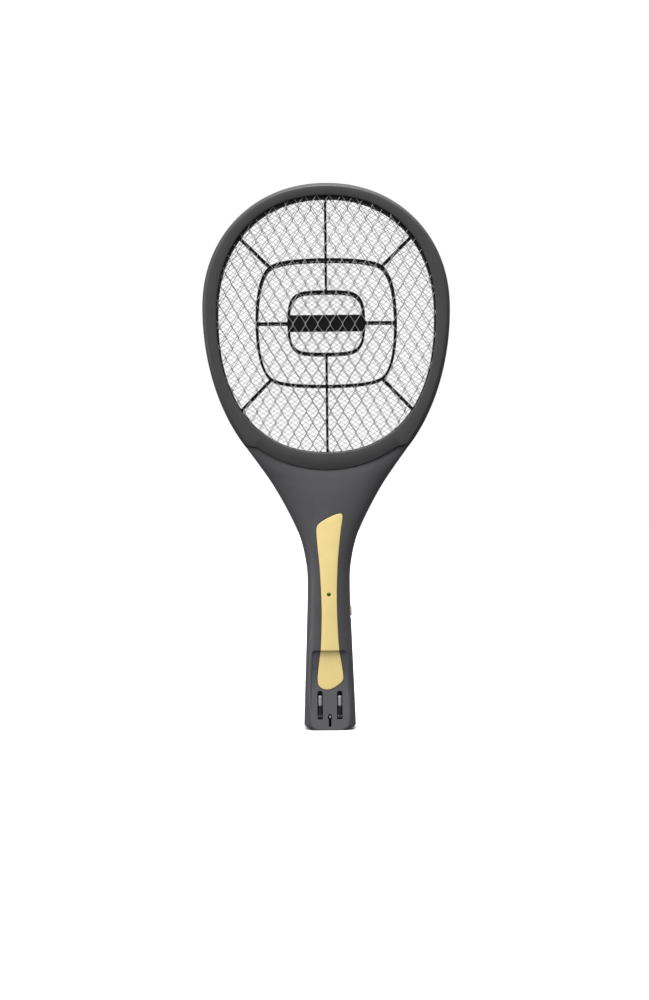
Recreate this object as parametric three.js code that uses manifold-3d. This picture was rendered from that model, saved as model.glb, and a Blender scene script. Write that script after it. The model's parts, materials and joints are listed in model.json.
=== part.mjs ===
// Rechargeable electric fly swatter: a racket-shaped bat with three wire grids
// in an oval head, a hollow handle that holds the electronics and two cells,
// a thumb button in its side and a mains plug that folds out of its end.
//
// Units are millimetres. +Z runs along the bat from the handle end, at z = 0,
// to the top of the head. +X is to the right seen from the front, and the
// front faces -Y. The two halves of the bat meet in the plane y = 0.

import * as THREE from 'three';
import { mergeVertices } from 'three/addons/utils/BufferGeometryUtils.js';
import Module from 'manifold-3d';

const wasm = await Module();
wasm.setup();

// ---------------------------------------------------------------- dimensions

const GAP = 0.3;                    // air between neighbouring pieces
const BAT_LENGTH = 520;

// Head: outline, opening and the seam to the handle.
const HEAD_HALF_WIDTH = 117.9;
const HEAD_WIDEST_Z = 400.7;
const HEAD_LOWER_REACH = 175;       // half-height of the ellipse of the lower outline
const HEAD_UPPER_POWER = 2.1;
const OPENING_HALF_WIDTH = 104.4;
const OPENING_CENTRE_Z = 395;
const OPENING_TOP_Z = 507.8;
const OPENING_BOTTOM_Z = 263.2;
const OPENING_UPPER_POWER = 2.2;
const OPENING_LOWER_POWER = 2.3;
const SEAM_RADIUS = 111.6;
const SEAM_BOTTOM_Z = 246.7;
const SEAM_CENTRE_Z = SEAM_BOTTOM_Z + SEAM_RADIUS;
const NECK_TOP_Z = 269.1;
const HEAD_DEPTH = 11;              // from the split plane to the head's face

// Bezel ring section.
const RING_WALL = 2.4;
const RING_FACE = 2;
const RING_BEVEL = 3.6;
const RING_BEVEL_DEPTH = 3.2;
const WIRE_SLOT_HALF_WIDTH = 27;    // way for the frame tongue and the leads

// Layers inside the head, as distances from the split plane.
const GRID_THICKNESS = 0.7;
const OUTER_GRID_Y = HEAD_DEPTH - RING_FACE - 0.4;
const FRAME_FACE_Y = OUTER_GRID_Y - GRID_THICKNESS - GAP;
const FRAME_INNER_Y = GRID_THICKNESS / 2 + GAP;
const RIB_DEPTH = 3;
const RIB_WIDTH = 2.3;
const LIP = 0.8;                    // how far the frames show inside the opening
const RIM_BEHIND_RING = 4;
const FRAME_CENTRE_Z = 387;
const TONGUE_HALF_WIDTH = 18;
const TONGUE_BOTTOM_Z = 222;
const TAB_X = 22;

// Handle shells.
const WALL = 2.6;
const PANEL_Y = -15.5;              // face of the recessed end panel
const PANEL_TOP_Z = 75.7;
const PANEL_BACK_Y = PANEL_Y + WALL;
const INLAY_THICKNESS = 1.3;
const SCREW_RADIUS = 1.25;
const SCREW_HOLE = SCREW_RADIUS + GAP;
const BOSS_RADIUS = 2.5;

// Folding plug: round pins of 4 mm on the usual pitch of 18.6 mm.
const PIN_X = 9.3;
const PIN_RADIUS = 2;
const PIN_TIP_Z = 32.9;
const SLEEVE_TOP_Z = 23.1;
const PIVOT = new THREE.Vector3(0, -12.8, 12.6);
const SLOT_WIDTH = 5;
const SLOT_BOTTOM_Z = 10.4;
const SLOT_TOP_Z = 37.5;
const AXLE_RADIUS = 1;

// Electronics and button.
const LED_Z = 128.8;
const BUTTON_Z = 112.5;
const BUTTON_OUTER_X = 21.9;
const BUTTON_TRAVEL = 1.5;
const BOARD_Y = 5;
const BOARD_BOTTOM_Z = 86;
const BOARD_TOP_Z = 168;
const CELL_RADIUS = 7.1;

// ----------------------------------------------------------------- materials

function material(color, roughness, metalness) {
  return new THREE.MeshStandardMaterial({ color, roughness, metalness });
}

const MATERIALS = {
  ring: material(0x464648, 0.5, 0),
  shell: material(0x55555a, 0.45, 0),
  frame: material(0x1a1a1c, 0.55, 0),
  yellow: material(0xe7d290, 0.4, 0),
  steel: material(0xb8b8ba, 0.35, 1),
  wire: material(0xa8a8aa, 0.4, 1),
  lens: material(0x284a05, 0.15, 0),
  sleeve: material(0x3c3c3e, 0.5, 0),
  board: material(0x1f5a32, 0.6, 0),
  ferrite: material(0x2a2a2c, 0.7, 0),
  winding: material(0xb06a30, 0.5, 0),
  film: material(0x8a2f22, 0.45, 0),
  cell: material(0x3a6a4a, 0.4, 0),
  brass: material(0xc8a44a, 0.35, 1),
  lead: material(0x9a2020, 0.5, 0),
};

// ------------------------------------------------------------ solid geometry

/** A closed three.js geometry as a solid that can be joined and cut. */
function solid(geometry) {
  geometry.deleteAttribute('normal');
  geometry.deleteAttribute('uv');
  const merged = mergeVertices(geometry, 1e-4);
  return new wasm.Manifold(new wasm.Mesh({
    numProp: 3,
    vertProperties: Float32Array.from(merged.attributes.position.array),
    triVerts: Uint32Array.from(merged.index.array),
  }));
}

function toGeometry(body) {
  const { vertProperties, triVerts } = body.getMesh();
  const geometry = new THREE.BufferGeometry();
  geometry.setAttribute('position', new THREE.BufferAttribute(vertProperties, 3));
  geometry.setIndex(new THREE.BufferAttribute(triVerts, 1));
  geometry.computeVertexNormals();
  return geometry;
}

function join(...bodies) {
  return bodies.reduce((whole, body) => whole.add(body));
}

function cut(body, ...tools) {
  return tools.reduce((rest, tool) => rest.subtract(tool), body);
}

/** A block between two corners, given as [low, high] along each axis. */
function block([x0, x1], [y0, y1], [z0, z1]) {
  const geometry = new THREE.BoxGeometry(x1 - x0, y1 - y0, z1 - z0);
  geometry.translate((x0 + x1) / 2, (y0 + y1) / 2, (z0 + z1) / 2);
  return solid(geometry);
}

const TURN_TO = {
  x: (geometry) => geometry.rotateZ(-Math.PI / 2),
  y: (geometry) => geometry,
  z: (geometry) => geometry.rotateX(Math.PI / 2),
};

/**
 * A turned piece. Its profile lists [radius, place along the axis], and it
 * stands on the line through the point `at`, parallel to the named axis.
 */
function turned(axis, profile, at = [0, 0, 0], sides = 12) {
  const points = profile.map(([radius, place]) => new THREE.Vector2(radius, place));
  const geometry = TURN_TO[axis](new THREE.LatheGeometry(points, sides));
  geometry.translate(...at);
  return solid(geometry);
}

/** A round rod along an axis, from one place on it to another. */
function rod(axis, radius, [from, to], at, sides = 12) {
  return turned(axis, [[0, from], [radius, from], [radius, to], [0, to]], at, sides);
}

/** A plate with its outline in the XZ plane, between two places on Y. */
function plate(shape, [y0, y1], curveSegments = 6) {
  const geometry = new THREE.ExtrudeGeometry(shape, {
    depth: y1 - y0, bevelEnabled: false, curveSegments,
  });
  geometry.rotateX(Math.PI / 2);
  geometry.translate(0, y1, 0);
  return solid(geometry);
}

function shapeOf(outline, hole) {
  const shape = new THREE.Shape(outline);
  if (hole) {
    shape.holes.push(new THREE.Path(hole));
  }
  return shape;
}

/** A skin through equal rings of points, as a list of triangles. */
function skin(rings, closedRound) {
  const count = rings[0].length;
  const last = closedRound ? rings.length : rings.length - 1;
  const index = [];
  for (let i = 0; i < last; i += 1) {
    const here = i * count;
    const next = ((i + 1) % rings.length) * count;
    for (let j = 0; j < count; j += 1) {
      const k = (j + 1) % count;
      index.push(here + j, here + k, next + k);
      index.push(here + j, next + k, next + j);
    }
  }
  return index;
}

function skinSolid(rings, index) {
  const positions = rings.flat().flatMap((point) => point.toArray());
  const geometry = new THREE.BufferGeometry();
  geometry.setAttribute('position', new THREE.Float32BufferAttribute(positions, 3));
  geometry.setIndex(index);
  return solid(geometry);
}

/** A loft through rings that lie level, from the lowest up, capped at both ends. */
function loft(rings) {
  const flat = rings[0].map((point) => new THREE.Vector2(point.x, point.y));
  if (THREE.ShapeUtils.isClockWise(flat)) {
    return loft(rings.map((ring) => ring.toReversed()));
  }
  const index = skin(rings, false);
  const top = (rings.length - 1) * flat.length;
  for (const [a, b, c] of THREE.ShapeUtils.triangulateShape(flat, [])) {
    index.push(c, b, a);
    index.push(top + a, top + b, top + c);
  }
  return skinSolid(rings, index);
}

/** A loft that runs round and closes on its first section. */
function loftRound(sections) {
  return skinSolid(sections, skin(sections, true));
}

/** A round wire or lead through points chosen by hand. */
function lead(points, radius, steps = 12) {
  const path = new THREE.CatmullRomCurve3(points.map((point) => new THREE.Vector3(...point)));
  const section = new THREE.Shape();
  section.absarc(0, 0, radius, 0, 2 * Math.PI);
  return solid(new THREE.ExtrudeGeometry(section, {
    steps, extrudePath: path, bevelEnabled: false, curveSegments: 3,
  }));
}

/** The same piece on the other side of the split plane. */
function mirrored(body) {
  return body.mirror([0, 1, 0]);
}

/** Points of a superellipse, which runs from an ellipse to a rounded square. */
function superellipse(a, b, power, centreZ, count) {
  return Array.from({ length: count }, (_, i) => {
    const angle = (2 * Math.PI * i) / count;
    const x = Math.cos(angle);
    const z = Math.sin(angle);
    const reach = (Math.abs(x / a) ** power + Math.abs(z / b) ** power) ** (-1 / power);
    return new THREE.Vector2(x * reach, centreZ + z * reach);
  });
}

// ---------------------------------------------------------------- head curves

/** Distance from a centre to a superellipse in the direction (sine, cosine). */
function polarReach(sine, cosine, a, b, power) {
  return (Math.abs(sine / a) ** power + Math.abs(cosine / b) ** power) ** (-1 / power);
}

/** The head's outline at an angle from straight down. */
function headOuter(angle) {
  const sine = Math.sin(angle);
  const down = Math.cos(angle);
  if (down < 0) {
    const rise = BAT_LENGTH - HEAD_WIDEST_Z;
    return polarReach(sine, down, HEAD_HALF_WIDTH, rise, HEAD_UPPER_POWER);
  }
  const ellipse = polarReach(sine, down, HEAD_HALF_WIDTH, HEAD_LOWER_REACH, 2);
  const above = HEAD_WIDEST_Z - SEAM_CENTRE_Z;
  const seam = above * down + Math.sqrt(SEAM_RADIUS ** 2 - (above * sine) ** 2);
  const shoulder = (HEAD_WIDEST_Z - NECK_TOP_Z) / Math.max(down, 1e-6);
  return Math.min(ellipse, Math.max(seam, shoulder));
}

function headInner(angle) {
  const sine = Math.sin(angle);
  const down = Math.cos(angle);
  const low = OPENING_CENTRE_Z - OPENING_BOTTOM_Z;
  const high = OPENING_TOP_Z - OPENING_CENTRE_Z;
  return down < 0
    ? polarReach(sine, down, OPENING_HALF_WIDTH, high, OPENING_UPPER_POWER)
    : polarReach(sine, down, OPENING_HALF_WIDTH, low, OPENING_LOWER_POWER);
}

const SHOULDER_DROP = HEAD_WIDEST_Z - NECK_TOP_Z;
const SHOULDER_X = HEAD_HALF_WIDTH * Math.sqrt(1 - (SHOULDER_DROP / HEAD_LOWER_REACH) ** 2);
const SEAM_CORNER_X = Math.sqrt(SEAM_RADIUS ** 2 - (SEAM_CENTRE_Z - NECK_TOP_Z) ** 2);
const SHOULDER_ANGLE = Math.atan2(SHOULDER_X, SHOULDER_DROP);
const SEAM_CORNER_ANGLE = Math.atan2(SEAM_CORNER_X, SHOULDER_DROP);

function evenSteps(from, to, count) {
  return Array.from({ length: count }, (_, i) => from + ((to - from) * i) / count);
}

/** Stations round the head, each with its outer and inner point and bevel. */
function headStations() {
  const right = [
    ...evenSteps(0, SEAM_CORNER_ANGLE, 5),
    SEAM_CORNER_ANGLE,
    ...evenSteps(SHOULDER_ANGLE, Math.PI / 2, 8),
    ...evenSteps(Math.PI / 2, Math.PI, 11),
  ];
  const left = right.slice(1).reverse().map((angle) => 2 * Math.PI - angle);
  return [...right, Math.PI, ...left].map((angle) => {
    const direction = new THREE.Vector2(Math.sin(angle), -Math.cos(angle));
    const outer = direction.clone().multiplyScalar(headOuter(angle));
    const inner = direction.clone().multiplyScalar(headInner(angle));
    outer.y += HEAD_WIDEST_Z;
    inner.y += OPENING_CENTRE_Z;
    const away = outer.clone().sub(inner).normalize();
    const onSeam = Math.min(angle, 2 * Math.PI - angle) < SHOULDER_ANGLE - 1e-6;
    return { outer, inner, away, bevel: onSeam ? 0.6 : RING_BEVEL };
  });
}

const STATIONS = headStations();

/** A loop round the opening, set outwards from its edge by a distance. */
function openingLoop(out) {
  return STATIONS.map(({ inner, away }) => inner.clone().addScaledVector(away, out));
}

function ringPoint({ outer, away }, inwards, y) {
  const place = outer.clone().addScaledVector(away, -inwards);
  return new THREE.Vector3(place.x, y, place.y);
}

// ------------------------------------------------------------- bezel rings

const RING_SCREW_ANGLES = [55, 115, 180, 245, 305].map(THREE.MathUtils.degToRad);

function ringScrewPlaces() {
  return RING_SCREW_ANGLES.map((angle) => {
    const reach = headOuter(angle) - RING_WALL - BOSS_RADIUS - GAP;
    return [Math.sin(angle) * reach, HEAD_WIDEST_Z - Math.cos(angle) * reach];
  });
}

/** The front ring without its screw posts: a face with a wall round it. */
function ringChannel() {
  const faceY = -HEAD_DEPTH;
  const backY = faceY + RING_FACE;
  const splitY = -GAP / 2;
  const rings = STATIONS.map((station) => {
    const width = station.outer.distanceTo(station.inner);
    return [
      [RING_WALL, splitY],
      [RING_WALL, backY],
      [width, backY],
      [width, faceY + 0.8],
      [width - 0.8, faceY],
      [station.bevel, faceY],
      [0, faceY + RING_BEVEL_DEPTH * (station.bevel / RING_BEVEL)],
      [0, splitY],
    ].map(([inwards, y]) => ringPoint(station, inwards, y));
  });
  const slot = block(
    [-WIRE_SLOT_HALF_WIDTH, WIRE_SLOT_HALF_WIDTH],
    [backY, 1],
    [SEAM_BOTTOM_Z - 2, OPENING_BOTTOM_Z - 2],
  );
  return cut(loftRound(rings), slot);
}

function frontRing() {
  let ring = ringChannel();
  for (const [x, z] of ringScrewPlaces()) {
    ring = join(ring, rod('y', BOSS_RADIUS, [-HEAD_DEPTH + 1, -GAP / 2], [x, 0, z], 10));
    ring = cut(ring, rod('y', SCREW_HOLE, [-7.5, 1], [x, 0, z], 10));
  }
  return ring;
}

function rearRing() {
  let ring = mirrored(ringChannel());
  for (const [x, z] of ringScrewPlaces()) {
    ring = join(ring, rod('y', BOSS_RADIUS, [GAP / 2, HEAD_DEPTH - 1], [x, 0, z], 10));
    ring = cut(ring, rod('y', SCREW_HOLE, [-1, HEAD_DEPTH + 1], [x, 0, z], 10));
    ring = cut(ring, rod('y', 2.4, [HEAD_DEPTH - 2.6, HEAD_DEPTH + 1], [x, 0, z], 10));
  }
  return ring;
}

// ------------------------------------------------------- grids and frames

/** A flat lattice of diamonds inside a border, with a tab for its lead. */
function grid(cellWidth, cellHeight, strut, tabX) {
  const border = openingLoop(RIM_BEHIND_RING - 0.5);
  const field = plate(shapeOf(openingLoop(0.8)), [-1, 1]);
  const half = [cellWidth / 2, cellHeight / 2];
  const trim = strut / Math.sin(2 * Math.atan2(half[0], half[1]));
  const diamond = shapeOf([
    new THREE.Vector2(half[0] - trim * (half[0] / half[1]), 0),
    new THREE.Vector2(0, half[1] - trim),
    new THREE.Vector2(-half[0] + trim * (half[0] / half[1]), 0),
    new THREE.Vector2(0, -half[1] + trim),
  ]);
  const cell = plate(diamond, [-1, 1]);
  const columns = Math.ceil(HEAD_HALF_WIDTH / half[0]);
  const rows = Math.ceil(HEAD_HALF_WIDTH / half[1]) + 1;
  const cells = [];
  for (let row = -rows; row <= rows; row += 1) {
    for (let column = -columns; column <= columns; column += 1) {
      const x = column * half[0];
      const z = FRAME_CENTRE_Z + row * half[1];
      const near = polarReach(x, z - FRAME_CENTRE_Z, HEAD_HALF_WIDTH + half[0], 150, 2) > 1;
      if ((row + column) % 2 === 0 && near) {
        cells.push(cell.translate([x, 0, z]));
      }
    }
  }
  const holes = wasm.Manifold.union(cells).intersect(field);
  const bare = plate(shapeOf(border), [-GRID_THICKNESS / 2, GRID_THICKNESS / 2]);
  const tab = block(
    [tabX - 2.5, tabX + 2.5],
    [-GRID_THICKNESS / 2, GRID_THICKNESS / 2],
    [SEAM_BOTTOM_Z + 4, OPENING_BOTTOM_Z],
  );
  return join(cut(bare, holes), tab);
}

function rib([x0, z0], [x1, z1], width, yRange) {
  const length = Math.hypot(x1 - x0, z1 - z0);
  const bar = block([0, length], yRange, [-width / 2, width / 2]);
  const turn = THREE.MathUtils.radToDeg(Math.atan2(z1 - z0, x1 - x0));
  return bar.rotate([0, -turn, 0]).translate([x0, 0, z0]);
}

/** The black plastic frame whose ribs hold the front grid off the middle one. */
function supportFrame() {
  const ribY = [-FRAME_FACE_Y, -FRAME_FACE_Y + RIB_DEPTH];
  const rim = plate(
    shapeOf(openingLoop(RIM_BEHIND_RING), openingLoop(-LIP)),
    [-FRAME_FACE_Y, -FRAME_INNER_Y],
  );
  const band = (a, b, power, count) => {
    const edge = (out) => superellipse(a + out, b + out, power, FRAME_CENTRE_Z, count);
    return plate(shapeOf(edge(RIB_WIDTH / 2), edge(-RIB_WIDTH / 2)), ribY);
  };
  const pieces = [
    rim,
    band(66.4, 60.3, 4, 28),
    band(36, 29.7, 4, 24),
    block([-36.2, 36.2], ribY, [380.1, 394.4]),
    rib([0, 417], [0, 509], RIB_WIDTH, ribY),
    rib([0, 262], [0, 357], RIB_WIDTH, ribY),
  ];
  for (const side of [-1, 1]) {
    pieces.push(rib([side * 36, FRAME_CENTRE_Z], [side * 66, FRAME_CENTRE_Z], RIB_WIDTH, ribY));
    pieces.push(rib([side * 52.6, 440], [side * 83, 470.2], RIB_WIDTH, ribY));
    pieces.push(rib([side * 52.6, 334], [side * 81.8, 304.2], RIB_WIDTH, ribY));
  }
  const tongueY = [-FRAME_INNER_Y - 4, -FRAME_INNER_Y];
  const tongue = block(
    [-TONGUE_HALF_WIDTH, TONGUE_HALF_WIDTH],
    tongueY,
    [TONGUE_BOTTOM_Z, OPENING_BOTTOM_Z - 1.5],
  );
  const holes = NECK_SCREWS.map(([x, z]) => rod('y', SCREW_HOLE, [-9, 1], [x, 0, z], 10));
  return cut(join(...pieces, tongue), ...holes);
}

// ------------------------------------------------------------ handle shells

const NECK_SCREWS = [[-13, 228], [13, 228]];
const HANDLE_SCREWS = [...NECK_SCREWS, [0, 178], [0, 79]];

/** Half-width of the handle and neck against height, as a smooth side line. */
const SIDE_LINE = new THREE.SplineCurve([
  [24.6, 4.3], [23.3, 45], [21.6, 91], [20.3, 136], [21.5, 158],
  [26.8, 182], [36.8, 205], [53.6, 235], [SHOULDER_X - 0.3, NECK_TOP_Z - GAP],
].map(([x, z]) => new THREE.Vector2(x, z))).getPoints(16);
const FOOT_HALF_WIDTH = 19.1;

/** Value at a height on a line through [height, value] pairs. */
function along(pairs, z) {
  const after = pairs.findIndex(([height]) => height >= z);
  if (after === 0) {
    return pairs[0][1];
  }
  if (after < 0) {
    return pairs.at(-1)[1];
  }
  const [z0, value0] = pairs[after - 1];
  const [z1, value1] = pairs[after];
  return THREE.MathUtils.mapLinear(z, z0, z1, value0, value1);
}

const FRONT_DEPTH = [
  [0, 15.5], [4.3, 15.8], [40, 17.2], [PANEL_TOP_Z, 18.5], [136, 18.2],
  [175, 16.7], [205, 14.6], [235, 12.6], [269, HEAD_DEPTH],
];
const REAR_DEPTH = [
  [0, 17.3], [4.3, 18.2], [30, 18.5], [136, 18.2],
  [175, 16.7], [205, 14.6], [235, 12.6], [269, HEAD_DEPTH],
];
const SECTION_POWER = [
  [0, 5.5], [25, 5], [50, 4.2], [PANEL_TOP_Z, 3.5], [100, 2.9], [160, 2.6], [205, 2.6], [235, 3],
  [269, 7],
];

function halfWidthAt(z) {
  return along(SIDE_LINE.map((point) => [point.y, point.x]), z);
}

/** One half of the handle as a full solid, set inwards by a distance. */
function handleHalf(side, inset, [z0, z1]) {
  const depths = side < 0 ? FRONT_DEPTH : REAR_DEPTH;
  const heights = [z0, ...SIDE_LINE.map((point) => point.y), PANEL_TOP_Z, z1]
    .filter((z) => z >= z0 && z <= z1)
    .sort((a, b) => a - b)
    .filter((z, i, all) => i === 0 || z - all[i - 1] > 0.01);
  const overlap = inset > 0 ? 1 : -GAP / 2;
  const rings = heights.map((z) => {
    const foot = z < SIDE_LINE[0].y;
    const width = (foot
      ? THREE.MathUtils.mapLinear(z, 0, SIDE_LINE[0].y, FOOT_HALF_WIDTH, SIDE_LINE[0].x)
      : halfWidthAt(z)) - inset;
    const depth = along(depths, z) - inset;
    const power = along(SECTION_POWER, z);
    const steps = 12;
    const points = [];
    for (let i = 0; i <= steps; i += 1) {
      const angle = (Math.PI * i) / steps;
      const x = -width * Math.sign(Math.cos(angle)) * Math.abs(Math.cos(angle)) ** (2 / power);
      const y = depth * Math.sin(angle) ** (2 / power);
      points.push(new THREE.Vector3(x, side * Math.max(y, -overlap), z));
    }
    if (inset > 0) {
      points.push(new THREE.Vector3(width, -side * overlap, z));
      points.unshift(new THREE.Vector3(-width, -side * overlap, z));
    }
    return points;
  });
  return loft(rings);
}

/** The inlay's outline: a long yellow tongue, cut slantwise at its top. */
function inlayOutline() {
  const at = (pairs) => pairs.map(([x, z]) => new THREE.Vector2(x, z));
  const shape = new THREE.Shape();
  shape.moveTo(13.8, 202.6);
  shape.splineThru(at([[12.9, 205.2], [10.2, 205.2]]));
  shape.splineThru(at([[2, 202.3], [-6.6, 197.6], [-10.5, 193.8], [-11.4, 189.2]]));
  shape.splineThru(at([[-8.8, 156.5], [-7.1, 114.8], [-8.4, 75.7], [-11.4, 44.8]]));
  shape.splineThru(at([[-9.3, 40.9], [-4.1, 38.4], [1.9, 39.2], [8, 42.7], [12.4, 46.9]]));
  shape.splineThru(at([[13.1, 50.4], [9.5, 75.7], [8, 104], [7.7, 131], [9.4, 165.9]]));
  shape.lineTo(13.8, 202.6);
  return shape.getPoints(2);
}

/** A closed outline grown outwards; the outline runs anticlockwise. */
function grown(outline, distance) {
  const points = outline.filter((point, i) => point.distanceTo(outline.at(i - 1)) > 1e-3);
  return points.map((point, i) => {
    const before = points.at(i - 1);
    const after = points[(i + 1) % points.length];
    const along2d = after.clone().sub(before).normalize();
    return new THREE.Vector2(point.x + along2d.y * distance, point.y - along2d.x * distance);
  });
}

/** The inlay, or with air round it the pocket that it lies in. */
function inlaySolid(air) {
  const outline = grown(inlayOutline(), air);
  const prism = plate(shapeOf(outline), [-25, -5]);
  const depth = INLAY_THICKNESS + air;
  const overHandle = cut(
    air > 0 ? block([-30, 30], [-24, -6], [PANEL_TOP_Z - air, 215])
      : handleHalf(-1, 0, [PANEL_TOP_Z, 215]),
    handleHalf(-1, depth, [PANEL_TOP_Z - 1, 216]),
  );
  const step = block([-30, 30],
    [air > 0 ? -24 : -along(FRONT_DEPTH, PANEL_TOP_Z), PANEL_Y + depth],
    [PANEL_TOP_Z - air, PANEL_TOP_Z + depth]);
  const stepCap = air > 0 ? step : step.intersect(handleHalf(-1, 0, [PANEL_TOP_Z, 90]));
  const onPanel = block([-30, 30], [PANEL_Y - air, PANEL_Y + depth], [30, PANEL_TOP_Z + 0.5]);
  return prism.intersect(join(overHandle, stepCap, onPanel));
}

/** The recess in front of the end panel, with round upper corners. */
function panelRecess() {
  const radius = 3;
  const shape = new THREE.Shape();
  shape.moveTo(-18.3, -2);
  shape.lineTo(18.3, -2);
  shape.lineTo(16.4, PANEL_TOP_Z - radius);
  shape.quadraticCurveTo(16.4, PANEL_TOP_Z, 16.4 - radius, PANEL_TOP_Z);
  shape.lineTo(-16.4 + radius, PANEL_TOP_Z);
  shape.quadraticCurveTo(-16.4, PANEL_TOP_Z, -16.4, PANEL_TOP_Z - radius);
  return plate(shape, [-30, PANEL_Y], 3);
}

function slotShape(x) {
  const half = SLOT_WIDTH / 2;
  const shape = new THREE.Shape();
  shape.moveTo(x - half, SLOT_BOTTOM_Z);
  shape.lineTo(x + half, SLOT_BOTTOM_Z);
  shape.lineTo(x + half, SLOT_TOP_Z - half);
  shape.absarc(x, SLOT_TOP_Z - half, half, 0, Math.PI);
  return shape;
}

/** What the plug needs cut into the front shell: pin slots, keyhole, axle bores. */
function plugCuts() {
  const { y, z } = PIVOT;
  const head = rod('y', 2.4, [-16, PANEL_BACK_Y + 1], [0, 0, z]);
  const stem = block([-1.35, 1.35], [-16, PANEL_BACK_Y + 1], [3, z]);
  const cuts = [
    rod('x', AXLE_RADIUS + GAP, [-14.5, 14.5], [0, y, z], 10),
    rod('x', 1.8, [-5.6, 5.6], [0, y, z], 12),
    head,
    stem,
  ];
  for (const x of [-PIN_X, PIN_X]) {
    cuts.push(plate(slotShape(x), [-17, -10.6]));
    cuts.push(block([x - SLOT_WIDTH / 2, x + SLOT_WIDTH / 2], [-14.3, -8.8], [8.7, 17]));
  }
  return cuts;
}

/** The way through the side wall for the button, with a scoop round it. */
function buttonCuts() {
  const scoopRadius = 30;
  const floorX = 19.9;
  const scoop = rod('y', scoopRadius, [-9.5, 9.5], [floorX + scoopRadius, 0, BUTTON_Z], 64);
  const opening = block([15, 24], [-3.3, 3.3], [BUTTON_Z - 5.6, BUTTON_Z + 5.6]);
  return [scoop, opening];
}

function seamCut() {
  return rod('y', SEAM_RADIUS + GAP, [-30, 30], [0, 0, SEAM_CENTRE_Z], 90);
}

function frontShell() {
  const hollow = cut(
    handleHalf(-1, WALL, [WALL, NECK_TOP_Z + 2]),
    block([-30, 30], [-30, PANEL_BACK_Y], [-1, PANEL_TOP_Z + WALL]),
  );
  let shell = cut(handleHalf(-1, 0, [0, NECK_TOP_Z - GAP]), hollow);
  for (const x of [-PIN_X, PIN_X]) {
    const half = SLOT_WIDTH / 2 + 1.2;
    shell = join(shell, block([x - half, x + half], [-13.5, -9.4], [7.5, 39.5]));
  }
  for (const [x, z] of HANDLE_SCREWS) {
    const end = z > TONGUE_BOTTOM_Z ? -FRAME_INNER_Y - 4 - GAP : -GAP / 2;
    const start = 1.4 - along(FRONT_DEPTH, z);
    shell = join(shell, rod('y', BOSS_RADIUS + 0.4, [start, end], [x, 0, z], 10));
    shell = cut(shell, rod('y', SCREW_HOLE, [start + 2.2, 1], [x, 0, z], 10));
  }
  const lampHole = rod('y', 1.8, [-20, -13], [0, 0, LED_Z]);
  return cut(shell, panelRecess(), inlaySolid(GAP), lampHole, seamCut(),
    ...plugCuts(), ...buttonCuts());
}

function rearShell() {
  const hollow = handleHalf(1, WALL, [WALL, NECK_TOP_Z + 2]);
  let shell = cut(handleHalf(1, 0, [0, NECK_TOP_Z - GAP]), hollow);
  for (const [x, z] of HANDLE_SCREWS) {
    const start = z > TONGUE_BOTTOM_Z ? FRAME_INNER_Y + 4 + GAP : GAP / 2;
    const end = along(REAR_DEPTH, z) - 1.4;
    shell = join(shell, rod('y', BOSS_RADIUS + 1, [start, end], [x, 0, z], 10));
    shell = cut(shell, rod('y', SCREW_HOLE, [-1, 30], [x, 0, z], 10));
    shell = cut(shell, rod('y', 2.5, [end - 1.8, 30], [x, 0, z], 10));
  }
  return cut(shell, seamCut(), ...buttonCuts());
}

// -------------------------------------------------------------------- screws

function screw(x, z, headY, tipY) {
  const profile = [
    [0, tipY], [SCREW_RADIUS, tipY + 1], [SCREW_RADIUS, headY],
    [2.1, headY], [2.1, headY + 1], [0, headY + 1.5],
  ];
  return turned('y', profile, [x, 0, z], 10);
}

function ringScrew([x, z]) {
  return screw(x, z, HEAD_DEPTH - 2.6 + GAP, -6.8);
}

function handleScrew([x, z]) {
  return screw(x, z, along(REAR_DEPTH, z) - 3.2 + GAP, 4.4 - along(FRONT_DEPTH, z));
}

// ---------------------------------------------------------------- mains plug

/** The arm that swings: an eye on the axle and a sleeve round the pin's root. */
function plugArm(x) {
  const { y, z } = PIVOT;
  const eye = rod('x', 2.3, [-2.2, 2.2], [x, y, z]);
  const sleeve = rod('z', PIN_RADIUS - 0.05, [z, SLEEVE_TOP_Z], [x, y, 0]);
  const axleBore = rod('x', AXLE_RADIUS + GAP, [-3, 3], [x, y, z], 10);
  const pinBore = rod('z', 1.5, [z + 2.4, SLEEVE_TOP_Z + 1], [x, y, 0]);
  return cut(join(eye, sleeve), axleBore, pinBore);
}

function plugPin(x) {
  const shoulder = SLEEVE_TOP_Z + GAP;
  const profile = [
    [0, PIVOT.z + 2.7], [1.2, PIVOT.z + 2.7], [1.2, shoulder], [PIN_RADIUS, shoulder],
    [PIN_RADIUS, PIN_TIP_Z - 1.2], [1.3, PIN_TIP_Z - 0.2], [0, PIN_TIP_Z],
  ];
  return turned('z', profile, [x, PIVOT.y, 0]);
}

/** The rod that joins both arms, with the collar that shows in the keyhole. */
function plugAxle() {
  const end = 14;
  const collar = 1;
  const collarRadius = 1.5;
  const profile = [
    [0, -end], [AXLE_RADIUS, -end], [AXLE_RADIUS, -collar], [collarRadius, -collar],
    [collarRadius, collar], [AXLE_RADIUS, collar], [AXLE_RADIUS, end], [0, end],
  ];
  return turned('x', profile, [0, PIVOT.y, PIVOT.z], 10);
}

/** Brass leaf behind each arm, with a foot for its lead. */
function contactSpring(x) {
  const leaf = block([x - 1.5, x + 1.5], [-10.1, -9.7], [9, 16.4]);
  const foot = block([x - 1.5, x + 1.5], [-9.8, -7], [9, 9.5]);
  return join(leaf, foot);
}

// -------------------------------------------------------------------- button

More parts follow.
